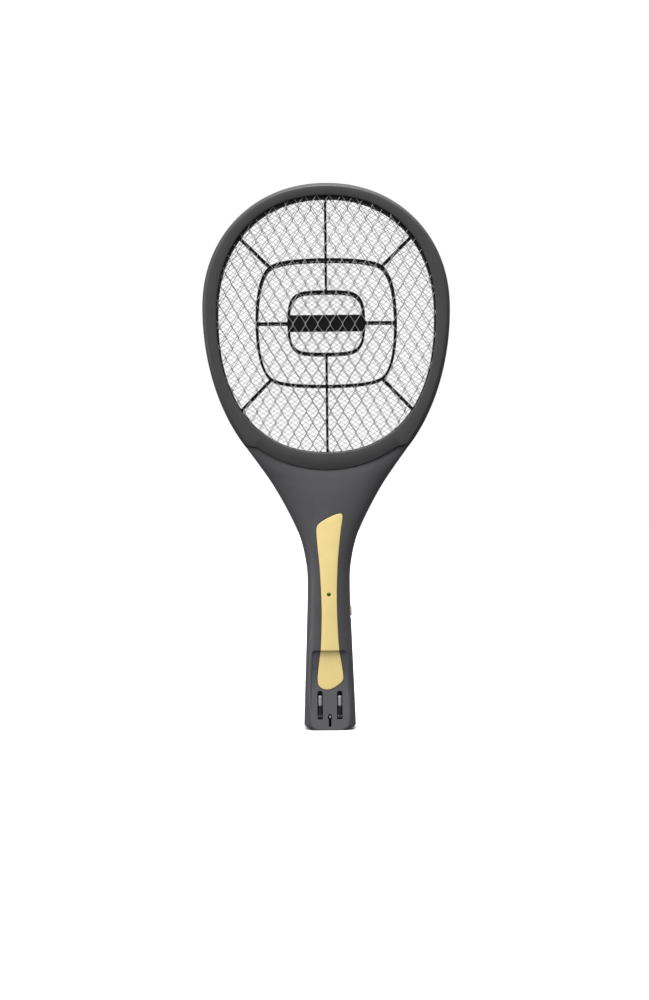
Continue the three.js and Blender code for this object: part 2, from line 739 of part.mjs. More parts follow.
function roundedBar(halfY, halfZ, [x0, x1], corner) {
  const shape = new THREE.Shape();
  shape.moveTo(-halfY + corner, -halfZ);
  shape.lineTo(halfY - corner, -halfZ);
  shape.absarc(halfY - corner, -halfZ + corner, corner, -Math.PI / 2, 0);
  shape.absarc(halfY - corner, halfZ - corner, corner, 0, Math.PI / 2);
  shape.absarc(-halfY + corner, halfZ - corner, corner, Math.PI / 2, Math.PI);
  shape.absarc(-halfY + corner, -halfZ + corner, corner, Math.PI, 1.5 * Math.PI);
  const geometry = new THREE.ExtrudeGeometry(shape, {
    depth: x1 - x0, bevelEnabled: false, curveSegments: 3,
  });
  geometry.rotateX(Math.PI / 2);
  geometry.rotateZ(Math.PI / 2);
  geometry.translate(x0, 0, BUTTON_Z);
  return solid(geometry);
}

function pushButton() {
  const cap = roundedBar(3, 5.25, [17, BUTTON_OUTER_X - 0.8], 2);
  const crown = roundedBar(2.3, 4.5, [18, BUTTON_OUTER_X], 1.6);
  const flange = roundedBar(4.2, 6.6, [16, 17.4], 1.5);
  const springSeat = turned('x', [[1.7, 15.5], [3.1, 15.5], [3.1, 18], [1.7, 18], [1.7, 15.5]],
    [0, 0, BUTTON_Z]);
  return cut(join(cap, crown, flange), springSeat);
}

function switchPlunger() {
  return rod('x', 1.3, [9, 15.7], [0, 0, BUTTON_Z], 10);
}

function switchBody() {
  const body = block([6.5, 12], [-4.4, 4.4], [BUTTON_Z - 4.5, BUTTON_Z + 4.5]);
  return cut(body, rod('x', 1.3 + GAP, [9 - BUTTON_TRAVEL - GAP, 13], [0, 0, BUTTON_Z], 10));
}

const STEPS_A_TURN = 7;

/** Coil spring that stands on the switch and reaches into the button's seat. */
function buttonSpring() {
  const turns = 3;
  const radius = 2.4;
  const points = Array.from({ length: turns * STEPS_A_TURN + 1 }, (_, i) => {
    const angle = (i / STEPS_A_TURN) * 2 * Math.PI;
    const x = THREE.MathUtils.mapLinear(i, 0, turns * STEPS_A_TURN, 12.6, 16.2);
    return [x, radius * Math.cos(angle), BUTTON_Z + radius * Math.sin(angle)];
  });
  return lead(points, 0.25, turns * STEPS_A_TURN);
}

// --------------------------------------------------------------- electronics

function circuitBoard() {
  return cut(
    block([-14, 11], [BOARD_Y, BOARD_Y + 1.6], [BOARD_BOTTOM_Z, BOARD_TOP_Z]),
    rod('y', 1.6, [BOARD_Y - 1, BOARD_Y + 3], [-10.5, 0, BOARD_BOTTOM_Z + 3.5], 10),
    rod('y', 1.6, [BOARD_Y - 1, BOARD_Y + 3], [7.5, 0, BOARD_BOTTOM_Z + 3.5], 10),
  );
}

const ON_BOARD_Y = BOARD_Y - GAP;

/** A box-shaped part on the board, with its corners cut off. */
function boardPart([x0, x1], depth, [z0, z1]) {
  const corner = 1;
  const shape = new THREE.Shape();
  shape.moveTo(x0 + corner, z0);
  shape.lineTo(x1 - corner, z0);
  shape.lineTo(x1, z0 + corner);
  shape.lineTo(x1, z1 - corner);
  shape.lineTo(x1 - corner, z1);
  shape.lineTo(x0 + corner, z1);
  shape.lineTo(x0, z1 - corner);
  shape.lineTo(x0, z0 + corner);
  return plate(shape, [ON_BOARD_Y - depth, ON_BOARD_Y]);
}

const TRANSFORMER_Z = 151;

function transformerCore() {
  const z = TRANSFORMER_Z;
  return cut(
    block([-9, 9], [ON_BOARD_Y - 10, ON_BOARD_Y], [z - 7.5, z + 7.5]),
    block([-6.5, 6.5], [ON_BOARD_Y - 11, ON_BOARD_Y + 1], [z - 4.8, z + 4.8]),
  );
}

function transformerWinding() {
  const profile = [
    [0, -6.2], [4.5, -6.2], [4.5, -5.2], [3.9, -5.2],
    [3.9, 5.2], [4.5, 5.2], [4.5, 6.2], [0, 6.2],
  ];
  return turned('x', profile, [0, ON_BOARD_Y - 5, TRANSFORMER_Z]);
}

/** A small part with a lead at each end, lying on the board along an axis. */
function axialPart(axis, radius, halfLength, at) {
  const wire = 0.35;
  const profile = [
    [0, -halfLength - 2], [wire, -halfLength - 2], [wire, -halfLength], [radius, -halfLength],
    [radius, halfLength], [wire, halfLength], [wire, halfLength + 2], [0, halfLength + 2],
  ];
  return turned(axis, profile, at, 8);
}

/** The lamp: a domed lens in the inlay on two leads to the board. */
function indicatorLed() {
  const front = -along(FRONT_DEPTH, LED_Z);
  const lens = turned('y', [
    [0, front - 0.25], [0.8, front - 0.15], [1.3, front + 0.2], [1.5, front + 0.7],
    [1.5, front + 3.2], [1.9, front + 3.2], [1.9, front + 4.2], [0, front + 4.2],
  ], [0, 0, LED_Z], 12);
  const leads = [-0.9, 0.9].map((x) => block(
    [x - 0.25, x + 0.25], [front + 4, ON_BOARD_Y], [LED_Z - 0.25, LED_Z + 0.25],
  ));
  return join(lens, ...leads);
}

function batteryCell(x) {
  const profile = [
    [0, 20], [CELL_RADIUS, 20], [CELL_RADIUS, 68.6], [CELL_RADIUS - 0.8, 69.2],
    [2.6, 69.2], [2.6, 70.3], [0, 70.3],
  ];
  return turned('z', profile, [x, 7.3, 0], 16);
}

function batteryStrap() {
  return block([-11, 11], [4.3, 10.3], [19.3, 19.7]);
}

// ------------------------------------------------------------------ assembly

const swatter = new THREE.Group();

function place(name, look, body, group = swatter) {
  const mesh = new THREE.Mesh(toGeometry(body), MATERIALS[look]);
  mesh.name = name;
  group.add(mesh);
}

place('front_ring', 'ring', frontRing());
place('rear_ring', 'ring', rearRing());

const frame = supportFrame();
place('front_support_frame', 'frame', frame);
place('rear_support_frame', 'frame', mirrored(frame));

// The lattices are coarser than the real weave, which has a finer pitch.
const outerY = OUTER_GRID_Y - GRID_THICKNESS / 2;
const outerGrid = grid(47.2, 82.4, 1.4, TAB_X);
place('front_grid', 'wire', outerGrid.translate([0, -outerY, 0]));
place('middle_grid', 'wire', grid(68, 45, 1.4, -TAB_X));
place('rear_grid', 'wire', outerGrid.translate([0, outerY, 0]));

place('front_shell', 'shell', frontShell());
place('rear_shell', 'shell', rearShell());
place('inlay_strip', 'yellow', cut(inlaySolid(0), rod('y', 1.8, [-20, -13], [0, 0, LED_Z])));

ringScrewPlaces().forEach((spot, i) => place(`ring_screw_${i + 1}`, 'steel', ringScrew(spot)));
HANDLE_SCREWS.forEach((spot, i) => place(`handle_screw_${i + 1}`, 'steel', handleScrew(spot)));

const plug = new THREE.Group();
swatter.add(plug);
place('plug_axle', 'steel', plugAxle(), plug);
for (const [side, sign] of [['left', -1], ['right', 1]]) {
  place(`plug_arm_${side}`, 'sleeve', plugArm(sign * PIN_X), plug);
  place(`plug_pin_${side}`, 'steel', plugPin(sign * PIN_X), plug);
  place(`contact_spring_${side}`, 'brass', contactSpring(sign * PIN_X));
}

const button = new THREE.Group();
swatter.add(button);
place('push_button', 'yellow', pushButton(), button);
place('switch_plunger', 'frame', switchPlunger(), button);
place('switch_body', 'frame', switchBody());
place('button_spring', 'steel', buttonSpring());

place('circuit_board', 'board', circuitBoard());
place('transformer_core', 'ferrite', transformerCore());
place('transformer_winding', 'winding', transformerWinding());
place('storage_capacitor', 'film', boardPart([-9, 9], 11, [133.5, 140.5]));
place('charging_capacitor', 'film', boardPart([-12, 4], 10, [96, 103]));
place('power_transistor', 'ferrite', boardPart([-13, -5], 3, [115, 126]));
place('bleed_resistor', 'sleeve', axialPart('x', 1.3, 3.2, [-4, ON_BOARD_Y - 1.3, 109]));
[-6, 0, 6].forEach((x, i) => {
  place(`rectifier_diode_${i + 1}`, 'ferrite', axialPart('z', 1.2, 2.4, [x, ON_BOARD_Y - 1.2, 163.4]));
});
place('indicator_led', 'lens', indicatorLed());
place('battery_cell_left', 'cell', batteryCell(-7.4));
place('battery_cell_right', 'cell', batteryCell(7.4));
place('battery_strap', 'steel', batteryStrap());

// Leads inside the casing, each from its terminal to the board.
const LEAD_RADIUS = 0.7;
const boardFront = BOARD_Y - GAP - LEAD_RADIUS;
const gridLeads = {
  front: [[TAB_X, -outerY, 250.2], [TAB_X, -7, 244], [22.5, -4, 226], [14, -2, 198],
    [9, boardFront, 176], [9, boardFront, 164]],
  middle: [[-TAB_X, 0, 250.2], [-TAB_X, 0, 244], [-22.5, 0, 226], [-14, 1, 198],
    [-9.5, boardFront, 176], [-9.5, boardFront, 164]],
  rear: [[TAB_X, outerY, 250.2], [TAB_X, 7, 244], [22.5, 4, 226], [16, 4, 198],
    [13.5, boardFront, 180], [11.4, boardFront, 166]],
};
for (const [name, points] of Object.entries(gridLeads)) {
  place(`grid_lead_${name}`, 'lead', lead(points, LEAD_RADIUS, 12));
}
for (const [side, sign] of [['left', -1], ['right', 1]]) {
  place(`battery_lead_${side}`, 'lead', lead([
    [sign * 7.4, 7.3, 71.4], [sign * 7.4, 7, 74], [sign * 7, 4.6, 80], [sign * 6, boardFront, 86],
    [sign * 6, boardFront, 90],
  ], LEAD_RADIUS, 8));
  place(`plug_lead_${side}`, 'lead', lead([
    [sign * PIN_X, -6.1, 9.4], [sign * 12, -4.6, 11], [sign * 16.6, -3.6, 20],
    [sign * 16.6, -3.4, 60], [sign * 12, 0, 80], [sign * 9.5, boardFront, 88],
    [sign * 9.5, boardFront, 92],
  ], LEAD_RADIUS, 14));
}

export default swatter;
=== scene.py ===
"""Looks of the electric fly swatter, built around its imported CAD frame.

Lengths here are millimetres, and `mm` turns them into metres when a mesh is
made. The row frame is the CAD's: +Z runs from the handle end to the head, the
front faces -Y, and the casing's halves meet in the plane y = 0.
"""

import json
import math

import bmesh
import bpy
import numpy as np
from mathutils import Matrix, Vector
from mathutils.bvhtree import BVHTree
from mathutils.interpolate import poly_3d_calc


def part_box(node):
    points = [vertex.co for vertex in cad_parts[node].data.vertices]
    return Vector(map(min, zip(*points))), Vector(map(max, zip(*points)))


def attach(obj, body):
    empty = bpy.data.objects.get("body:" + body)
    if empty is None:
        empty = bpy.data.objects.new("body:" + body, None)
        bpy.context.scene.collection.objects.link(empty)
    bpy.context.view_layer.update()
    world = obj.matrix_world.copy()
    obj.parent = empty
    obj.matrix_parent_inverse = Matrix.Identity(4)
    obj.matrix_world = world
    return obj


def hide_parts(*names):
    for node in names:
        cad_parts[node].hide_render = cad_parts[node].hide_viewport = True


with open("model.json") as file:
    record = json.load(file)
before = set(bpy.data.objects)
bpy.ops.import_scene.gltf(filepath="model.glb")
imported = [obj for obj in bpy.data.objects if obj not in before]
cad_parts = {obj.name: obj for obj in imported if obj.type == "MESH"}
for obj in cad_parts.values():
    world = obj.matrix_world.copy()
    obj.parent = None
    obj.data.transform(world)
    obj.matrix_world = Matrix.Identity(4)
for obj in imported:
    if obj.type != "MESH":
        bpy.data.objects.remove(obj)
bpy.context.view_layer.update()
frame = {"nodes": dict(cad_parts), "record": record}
SCENE = bpy.context.scene


def node_box(name):
    """Lowest and highest corner of a CAD node, in millimetres."""
    low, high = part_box(name)
    return np.array(low) * 1000, np.array(high) * 1000


# ------------------------------------------------------------- dimensions

RING_LOW, RING_HIGH = node_box("front_ring")
SHELL_HIGH = node_box("front_shell")[1]
REAR_HIGH = node_box("rear_shell")[1]
FRAME_LOW, FRAME_HIGH = node_box("front_support_frame")
BUTTON_LOW, BUTTON_HIGH = node_box("push_button")
AXLE_LOW, AXLE_HIGH = node_box("plug_axle")
PIN_LOW, PIN_HIGH = node_box("plug_pin_right")
ARM_HIGH = node_box("plug_arm_right")[1]

SPLIT_GAP = 0.15
SPLIT_GROOVE = 1.3
SEAM_GAP = 0.18
HEAD_TOP = RING_HIGH[2]
HEAD_HALF_WIDTH = RING_HIGH[0]
HEAD_DEPTH = -RING_LOW[1]
HEAD_WIDEST_Z = 400.7
HEAD_LOWER_REACH = 175.0
HEAD_UPPER_POWER = 2.1
OPENING_HALF_WIDTH = 104.4
OPENING_CENTRE_Z = 395.0
OPENING_TOP_Z = 507.8
OPENING_BOTTOM_Z = 263.2
OPENING_UPPER_POWER = 2.2
OPENING_LOWER_POWER = 2.3
SEAM_RADIUS = 111.6
SEAM_BOTTOM_Z = RING_LOW[2]
SEAM_CENTRE_Z = SEAM_BOTTOM_Z + SEAM_RADIUS
NECK_TOP_Z = SHELL_HIGH[2] + 0.3

RING_WALL = 2.4
RING_FACE = 2.0
RING_BEVEL = 3.6
RING_BEVEL_DEPTH = 3.2
NECK_BEVEL = 0.35
WIRE_SLOT_REACH = 27
SCREW_BORE = 1.55
GRID_DEPTH = -sum(corner[1] for corner in node_box("front_grid")) / 2
RIB_WIDTH = 2.3
THIN_RIB = 1.9
TONGUE_REACH = 18
TONGUE_DEPTH = 4
TONGUE_FOOT_Z = 222
RIB_DEPTH = 3.0
LIP = 0.8
FRAME_CENTRE_Z = 387.0

WALL = 2.6
PANEL_Y = -15.5
PANEL_TOP_Z = 75.7
PIVOT = (AXLE_LOW + AXLE_HIGH) / 2
PIN_X = (PIN_LOW[0] + PIN_HIGH[0]) / 2
SLOT_WIDTH = 5.0
SLOT_BOTTOM_Z = 10.4
SLOT_TOP_Z = 37.5
SLOT_FLOOR_Y = -10.6
LED_Z = 128.8
BUTTON_Z = (BUTTON_LOW[2] + BUTTON_HIGH[2]) / 2


# ------------------------------------------------------------ mesh helpers

SHARP_ANGLE = 32
WELD = 2e-7


def mm(value):
    return value * 0.001


def mesh_object(name, points, faces, sharp_angle=SHARP_ANGLE):
    """A smooth-shaded object from points in millimetres, its faces turned outwards."""
    mesh = bpy.data.meshes.new(name)
    mesh.from_pydata((np.asarray(points, float) * 0.001).tolist(), [], faces)
    work = bmesh.new()
    work.from_mesh(mesh)
    bmesh.ops.remove_doubles(work, verts=work.verts, dist=WELD)
    bmesh.ops.recalc_face_normals(work, faces=work.faces)
    work.to_mesh(mesh)
    work.free()
    obj = bpy.data.objects.new(name, mesh)
    SCENE.collection.objects.link(obj)
    shade(obj, sharp_angle)
    return obj


def shade(obj, sharp_angle=SHARP_ANGLE):
    obj.data.shade_smooth()
    obj.data.set_sharp_from_angle(angle=math.radians(sharp_angle))


def combine(obj, tool, operation):
    """Cuts, joins or intersects obj with tool, which is used up."""
    step = obj.modifiers.new("combine", "BOOLEAN")
    step.operation = operation
    step.object = tool
    step.solver = "MANIFOLD"
    graph = bpy.context.evaluated_depsgraph_get()
    made = bpy.data.meshes.new_from_object(obj.evaluated_get(graph))
    obj.modifiers.clear()
    old = obj.data
    obj.data = made
    made.name = old.name + "_mesh"
    bpy.data.meshes.remove(old)
    bpy.data.objects.remove(tool)
    shade(obj)
    return obj


def cut(obj, *tools):
    for tool in tools:
        combine(obj, tool, "DIFFERENCE")
    return obj


def join(obj, *others):
    for other in others:
        combine(obj, other, "UNION")
    return obj


def mirror_front_to_back(obj):
    """Turns a piece made for the front into its twin at the rear."""
    obj.data.transform(Matrix.Scale(-1, 4, (0, 1, 0)))
    obj.data.flip_normals()


def merge(name, objects):
    """Puts separate solids into one object without cutting them."""
    points, faces = [], []
    for obj in objects:
        start = len(points)
        points += [tuple(v.co * 1000) for v in obj.data.vertices]
        faces += [[start + i for i in face.vertices] for face in obj.data.polygons]
        bpy.data.objects.remove(obj)
    return mesh_object(name, points, faces)


def unit(vectors):
    return vectors / np.linalg.norm(vectors, axis=1)[:, None]


def along(outline):
    """Direction of travel at each point of a closed outline."""
    return unit(np.roll(outline, -1, axis=0) - np.roll(outline, 1, axis=0))


def skin_faces(rows, columns, rows_closed, columns_closed):
    """Quads of a grid of points that may close on itself either way."""
    faces = []
    for i in range(rows if rows_closed else rows - 1):
        for j in range(columns if columns_closed else columns - 1):
            ii, jj = (i + 1) % rows, (j + 1) % columns
            faces.append([i * columns + j, i * columns + jj, ii * columns + jj, ii * columns + j])
    return faces


def capped_skin(rows, columns):
    """Faces of a tube of points with a cap on each end."""
    last = (rows - 1) * columns
    caps = [list(range(columns)), list(range(last, last + columns))]
    return skin_faces(rows, columns, False, True) + caps


def loft(name, rings, closed_round=False):
    """A skin through equal rings of points, capped unless it closes round."""
    rings = [np.asarray(ring, float) for ring in rings]
    size = len(rings), len(rings[0])
    faces = skin_faces(*size, True, True) if closed_round else capped_skin(*size)
    return mesh_object(name, np.concatenate(rings), faces)


TURNED_AXES = {
    "x": lambda r, a, p: (p, r * math.cos(a), r * math.sin(a)),
    "y": lambda r, a, p: (r * math.cos(a), p, r * math.sin(a)),
    "z": lambda r, a, p: (r * math.cos(a), r * math.sin(a), p),
}


def turned(name, axis, profile, at=(0, 0, 0), sides=48):
    """A solid of revolution from [radius, place along the axis] pairs."""
    spot = TURNED_AXES[axis]
    turns = [2 * math.pi * j / sides for j in range(sides)]
    rings = [
        [np.add(spot(max(radius, 1e-3), a, place), at) for a in turns]
        for radius, place in profile
    ]
    return loft(name, rings)


def rod(name, axis, radius, span, at, sides=48):
    return turned(name, axis, [(radius, span[0]), (radius, span[1])], at, sides)


def block(name, x, y, z):
    corners = [(a, b, c) for a in x for b in y for c in z]
    faces = [[0, 1, 3, 2], [4, 6, 7, 5], [0, 4, 5, 1], [2, 3, 7, 6], [0, 2, 6, 4], [1, 5, 7, 3]]
    return mesh_object(name, corners, faces)


def soft_block(name, x, y, z, radius=0.4, segments=3):
    """A block with rounded edges."""
    obj = block(name, x, y, z)
    work = bmesh.new()
    work.from_mesh(obj.data)
    bmesh.ops.bevel(
        work, geom=list(work.edges), offset=mm(radius), segments=segments,
        profile=0.5, affect="EDGES",
    )
    work.to_mesh(obj.data)
    work.free()
    shade(obj)
    return obj


def extruded(name, outline, y_span):
    """A plate with its outline in the XZ plane."""
    return loft(name, [[(x, y, z) for x, z in outline] for y in y_span])


def tube(path, radius, sides=8):
    """Points and faces of a round wire along a path that stays level in Y."""
    path = np.asarray(path, float)
    ahead = unit(np.diff(path, axis=0))
    before = np.vstack([ahead[:1], ahead])
    after = np.vstack([ahead, ahead[-1:]])
    mean = unit(before + after)
    stretch = 1 / np.clip((mean * after).sum(1), 0.6, 1)
    side = np.stack([mean[:, 2], np.zeros(len(mean)), -mean[:, 0]], axis=1) * stretch[:, None]
    up = np.array([0.0, 1.0, 0.0])
    turns = 2 * np.pi * np.arange(sides) / sides
    rings = [
        path[k] + radius * (np.outer(np.cos(turns), side[k]) + np.outer(np.sin(turns), up))
        for k in range(len(path))
    ]
    return np.concatenate(rings), capped_skin(len(path), sides)


def many_tubes(paths, radius, sides=8):
    points, faces, start = [], [], 0
    for path in paths:
        own_points, own_faces = tube(path, radius, sides)
        points.append(own_points)
        faces += [[start + i for i in face] for face in own_faces]
        start += len(own_points)
    return np.concatenate(points), faces


# ---------------------------------------------------------- smooth curves

def smooth_line(pairs):
    """A function through (place, value) pairs that never overshoots them."""
    places = np.array([p for p, _ in pairs], float)
    values = np.array([v for _, v in pairs], float)
    slopes = np.diff(values) / np.diff(places)
    tangents = np.zeros(len(values))
    for i in range(1, len(values) - 1):
        if slopes[i - 1] * slopes[i] > 0:
            tangents[i] = 2 / (1 / slopes[i - 1] + 1 / slopes[i])
    tangents[0], tangents[-1] = slopes[0], slopes[-1]

    def at(where):
        where = np.clip(where, places[0], places[-1])
        i = np.clip(np.searchsorted(places, where) - 1, 0, len(places) - 2)
        step = places[i + 1] - places[i]
        t = (where - places[i]) / step
        return (
            values[i] * (2 * t**3 - 3 * t**2 + 1) + tangents[i] * step * (t**3 - 2 * t**2 + t)
            + values[i + 1] * (3 * t**2 - 2 * t**3) + tangents[i + 1] * step * (t**3 - t**2)
        )

    return at


def catmull(points, steps):
    """Points on a smooth curve through the given ones."""
    given = [np.array(p, float) for p in points]
    padded = given[:1] + given + given[-1:]
    made = []
    for p0, p1, p2, p3 in zip(padded, padded[1:], padded[2:], padded[3:]):
        for t in np.arange(steps) / steps:
            made.append(0.5 * (
                2 * p1 + (p2 - p0) * t + (2 * p0 - 5 * p1 + 4 * p2 - p3) * t**2
                + (3 * p1 - p0 - 3 * p2 + p3) * t**3
            ))
    return np.array(made + given[-1:])


def centripetal(points, steps):
    """Closed smooth curve that stays tight where its points are unevenly spaced."""
    given = [np.array(p, float) for p in points]
    count = len(given)
    made = []
    for i in range(count):
        p = [given[(i + k) % count] for k in (-1, 0, 1, 2)]
        t = [0.0]
        for a, b in zip(p[:-1], p[1:]):
            t.append(t[-1] + math.sqrt(np.linalg.norm(b - a)))
        for place in t[1] + (t[2] - t[1]) * np.arange(steps) / steps:
            level = list(p)
            for depth in (1, 2, 3):
                level = [
                    level[k] * (t[k + depth] - place) / (t[k + depth] - t[k])
                    + level[k + 1] * (place - t[k]) / (t[k + depth] - t[k])
                    for k in range(4 - depth)
                ]
            made.append(level[0])
    return np.array(made)


def polar_reach(sine, cosine, a, b, power):
    """Distance from the middle of a superellipse to its edge."""
    return (abs(sine / a) ** power + abs(cosine / b) ** power) ** (-1 / power)


def arc(centre, radius, start, end, count):
    turns = np.radians(np.linspace(start, end, count))
    return [(centre[0] + radius * math.cos(t), centre[1] + radius * math.sin(t)) for t in turns]


def superellipse(a, b, power, centre_z, count):
    angle = 2 * np.pi * np.arange(count) / count
    c, s = np.cos(angle), np.sin(angle)
    reach = polar_reach(c, s, a, b, power)
    return np.stack([c * reach, centre_z + s * reach], axis=1)


# ------------------------------------------------------------- head curves

def seam_z(x):
    """Height of the seam to the handle, whose ends curl level at the silhouette."""
    soft = 1.0
    bowl = SEAM_CENTRE_Z - math.sqrt(max(SEAM_RADIUS**2 - x * x, 1)) - NECK_TOP_Z
    return NECK_TOP_Z - soft * math.log(math.exp(-bowl / soft) + 1)


def seam_reach(sine, down):
    """Distance from the head's widest level to the seam in a downward direction."""
    low, high = 90.0, 190.0
    for _ in range(40):
        middle = (low + high) / 2
        if HEAD_WIDEST_Z - middle * down > seam_z(middle * sine):
            low = middle
        else:
            high = middle
    return low


def head_outer(angle):
    """The head's outline from its widest level, at an angle from straight down."""
    sine, down = math.sin(angle), math.cos(angle)
    if down < 0:
        rise = HEAD_TOP - HEAD_WIDEST_Z
        return polar_reach(sine, down, HEAD_HALF_WIDTH, rise, HEAD_UPPER_POWER)
    ellipse = polar_reach(sine, down, HEAD_HALF_WIDTH, HEAD_LOWER_REACH, 2)
    if down < 0.6:
        return ellipse
    return min(ellipse, seam_reach(sine, down))


def head_inner(angle):
    sine, down = math.sin(angle), math.cos(angle)
    if down < 0:
        rise = OPENING_TOP_Z - OPENING_CENTRE_Z
        return polar_reach(sine, down, OPENING_HALF_WIDTH, rise, OPENING_UPPER_POWER)
    drop = OPENING_CENTRE_Z - OPENING_BOTTOM_Z
    return polar_reach(sine, down, OPENING_HALF_WIDTH, drop, OPENING_LOWER_POWER)


SHOULDER_DROP = HEAD_WIDEST_Z - NECK_TOP_Z
SHOULDER_X = HEAD_HALF_WIDTH * math.sqrt(1 - (SHOULDER_DROP / HEAD_LOWER_REACH) ** 2)
SEAM_CORNER_X = math.sqrt(SEAM_RADIUS**2 - (SEAM_CENTRE_Z - NECK_TOP_Z) ** 2)
SHOULDER_ANGLE = math.atan2(SHOULDER_X, SHOULDER_DROP)
SEAM_CORNER_ANGLE = math.atan2(SEAM_CORNER_X, SHOULDER_DROP)


def head_stations():
    """Stations round the head: outer point, inner point, outward direction, bevel."""
    right = np.concatenate([
        np.linspace(0, SEAM_CORNER_ANGLE - 0.07, 20),
        np.linspace(SEAM_CORNER_ANGLE - 0.07, SHOULDER_ANGLE, 22)[1:],
        np.linspace(SHOULDER_ANGLE, math.pi / 2, 42)[1:],
        np.linspace(math.pi / 2, math.pi, 56)[1:],
    ])
    stations = []
    for angle in np.concatenate([right, 2 * math.pi - right[-2:0:-1]]):
        direction = np.array([math.sin(angle), -math.cos(angle)])
        outer = direction * head_outer(angle) + [0, HEAD_WIDEST_Z]
        inner = direction * head_inner(angle) + [0, OPENING_CENTRE_Z]
        away = (outer - inner) / np.linalg.norm(outer - inner)
        from_bottom = min(angle, 2 * math.pi - angle)
        share = np.interp(from_bottom, [SHOULDER_ANGLE - 0.05, SHOULDER_ANGLE + 0.01], [0, 1])
        stations.append((outer, inner, away, NECK_BEVEL + (RING_BEVEL - NECK_BEVEL) * share))
    return stations


STATIONS = head_stations()


def opening_loop(out):
    return np.array([inner + away * out for _, inner, away, _ in STATIONS])


def inside_opening(x, z, margin):
    """Below 1 inside the opening grown by a margin."""
    a = OPENING_HALF_WIDTH + margin
    if z > OPENING_CENTRE_Z:
        b, power = OPENING_TOP_Z - OPENING_CENTRE_Z + margin, OPENING_UPPER_POWER
    else:
        b, power = OPENING_CENTRE_Z - OPENING_BOTTOM_Z + margin, OPENING_LOWER_POWER
    return abs(x / a) ** power + abs((z - OPENING_CENTRE_Z) / b) ** power


# ------------------------------------------------------------ bezel rings

RING_SCREWS = [node_box(f"ring_screw_{i}") for i in range(1, 6)]
HANDLE_SCREWS = [node_box(f"handle_screw_{i}") for i in range(1, 5)]
POST_RADIUS = 2.5
HEAD_SINK = 2.6


def screw_spot(corners):
    """Middle of a screw over the XZ plane, from its box."""
    low, high = corners
    return (low[0] + high[0]) / 2, (low[2] + high[2]) / 2


def ring_profile(width, bevel):
    """Half of a bezel's section, as (inwards from the outline, depth)."""
    face = HEAD_DEPTH
    drop = RING_BEVEL_DEPTH * bevel / RING_BEVEL
    soft = min(0.35, bevel / 3)
    return [
        (RING_WALL, 0), (RING_WALL, face - RING_FACE), (width, face - RING_FACE),
        (width, face - 0.9), (width - 0.12, face - 0.5), (width - 0.45, face - 0.16),
        (width - 1, face), (bevel + soft, face), (bevel, face - 0.06),
        (bevel - soft * 0.8, face - soft * 0.62),
        (soft * 0.8, face - drop + soft * 0.62), (0.06, face - drop - 0.1),
        (0, face - drop - soft), (0, 2.2), (0, 0.75), (0.35, SPLIT_GAP + 0.1), (0.5, SPLIT_GAP),
        (SPLIT_GROOVE, SPLIT_GAP), (SPLIT_GROOVE, 0),
    ]


def bezel(name, side):
    sections = []
    for outer, inner, away, bevel in STATIONS:
        width = np.linalg.norm(outer - inner)
        sections.append([
            (outer[0] - away[0] * u, side * y, outer[1] - away[1] * u)
            for u, y in ring_profile(width, bevel)
        ])
    ring = loft(name, sections, closed_round=True)
    slot_y = sorted([side * (HEAD_DEPTH - RING_FACE), -side])
    slot_z = (SEAM_BOTTOM_Z - 2, OPENING_BOTTOM_Z - 2)
    cut(ring, block("slot", (-WIRE_SLOT_REACH, WIRE_SLOT_REACH), slot_y, slot_z))
    for corners in RING_SCREWS:
        x, z = screw_spot(corners)
        post_y = sorted([side * SPLIT_GAP, side * (HEAD_DEPTH - 1)])
        join(ring, rod("post", "y", POST_RADIUS, post_y, (x, 0, z)))
        end = HEAD_DEPTH + 1 if side > 0 else 7.5
        cut(ring, rod("bore", "y", SCREW_BORE, sorted([-side, side * end]), (x, 0, z)))
        if side > 0:
            cut(ring, counterbore(x, z, HEAD_DEPTH - HEAD_SINK, HEAD_DEPTH, 2.4))
    return ring


def counterbore(x, z, floor_y, face_y, radius):
    """Cutter for a sunk screw head, with its rim broken."""
    profile = [(radius, floor_y), (radius, face_y - 0.25), (radius + 0.3, face_y + 0.02),
               (radius + 0.3, face_y + 6)]
    return turned("counterbore", "y", profile, (x, 0, z))


# --------------------------------------------------------------- wire grids

FRONT_MESH_PITCH = (11.8, 20.6)
MIDDLE_MESH_PITCH = (6.8, 4.5)
OUTER_NODE = (3.7, 385.5)
OUTER_WIRE = 0.29
MIDDLE_WIRE = 0.21
BOND = 1.15
UNDER_RING = 2.4
TAB_X = 22


def clipped(path, margin):
    """The runs of a path that lie inside the opening, ended on its border."""
    def value(point):
        return inside_opening(point[0], point[2], margin) - 1

    def crossing(a, b):
        for _ in range(24):
            middle = (a + b) / 2
            if (value(a) < 0) == (value(middle) < 0):
                a = middle
            else:
                b = middle
        return (a + b) / 2

    runs, run = [], []
    for a, b in zip(path[:-1], path[1:]):
        inside_a, inside_b = value(a) < 0, value(b) < 0
        if inside_a and not run:
            run = [a]
        if inside_a and inside_b:
            run.append(b)
        elif inside_a:
            run.append(crossing(a, b))
            runs.append(run)
            run = []
        elif inside_b:
            run = [crossing(a, b), b]
    if len(run) > 1:
        runs.append(run)
    return [np.array(r) for r in runs if np.linalg.norm(r[-1] - r[0]) > 1]


def diamond_strands(y):
    """Zigzag strands that touch side by side at each knot of the diamonds."""
    half_x, half_z = (pitch / 2 for pitch in FRONT_MESH_PITCH)
    beside = OUTER_WIRE * 0.8
    strands = []
    for i in range(-21, 21):
        path = []
        for j in range(-13, 14):
            at_left = (i + j) % 2 == 0
            x = OUTER_NODE[0] + (i * half_x + beside if at_left else (i + 1) * half_x - beside)
            z = OUTER_NODE[1] + j * half_z
            path += [(x, y, z - BOND), (x, y, z + BOND)]
        strands += clipped(np.array(path), UNDER_RING)
    return strands


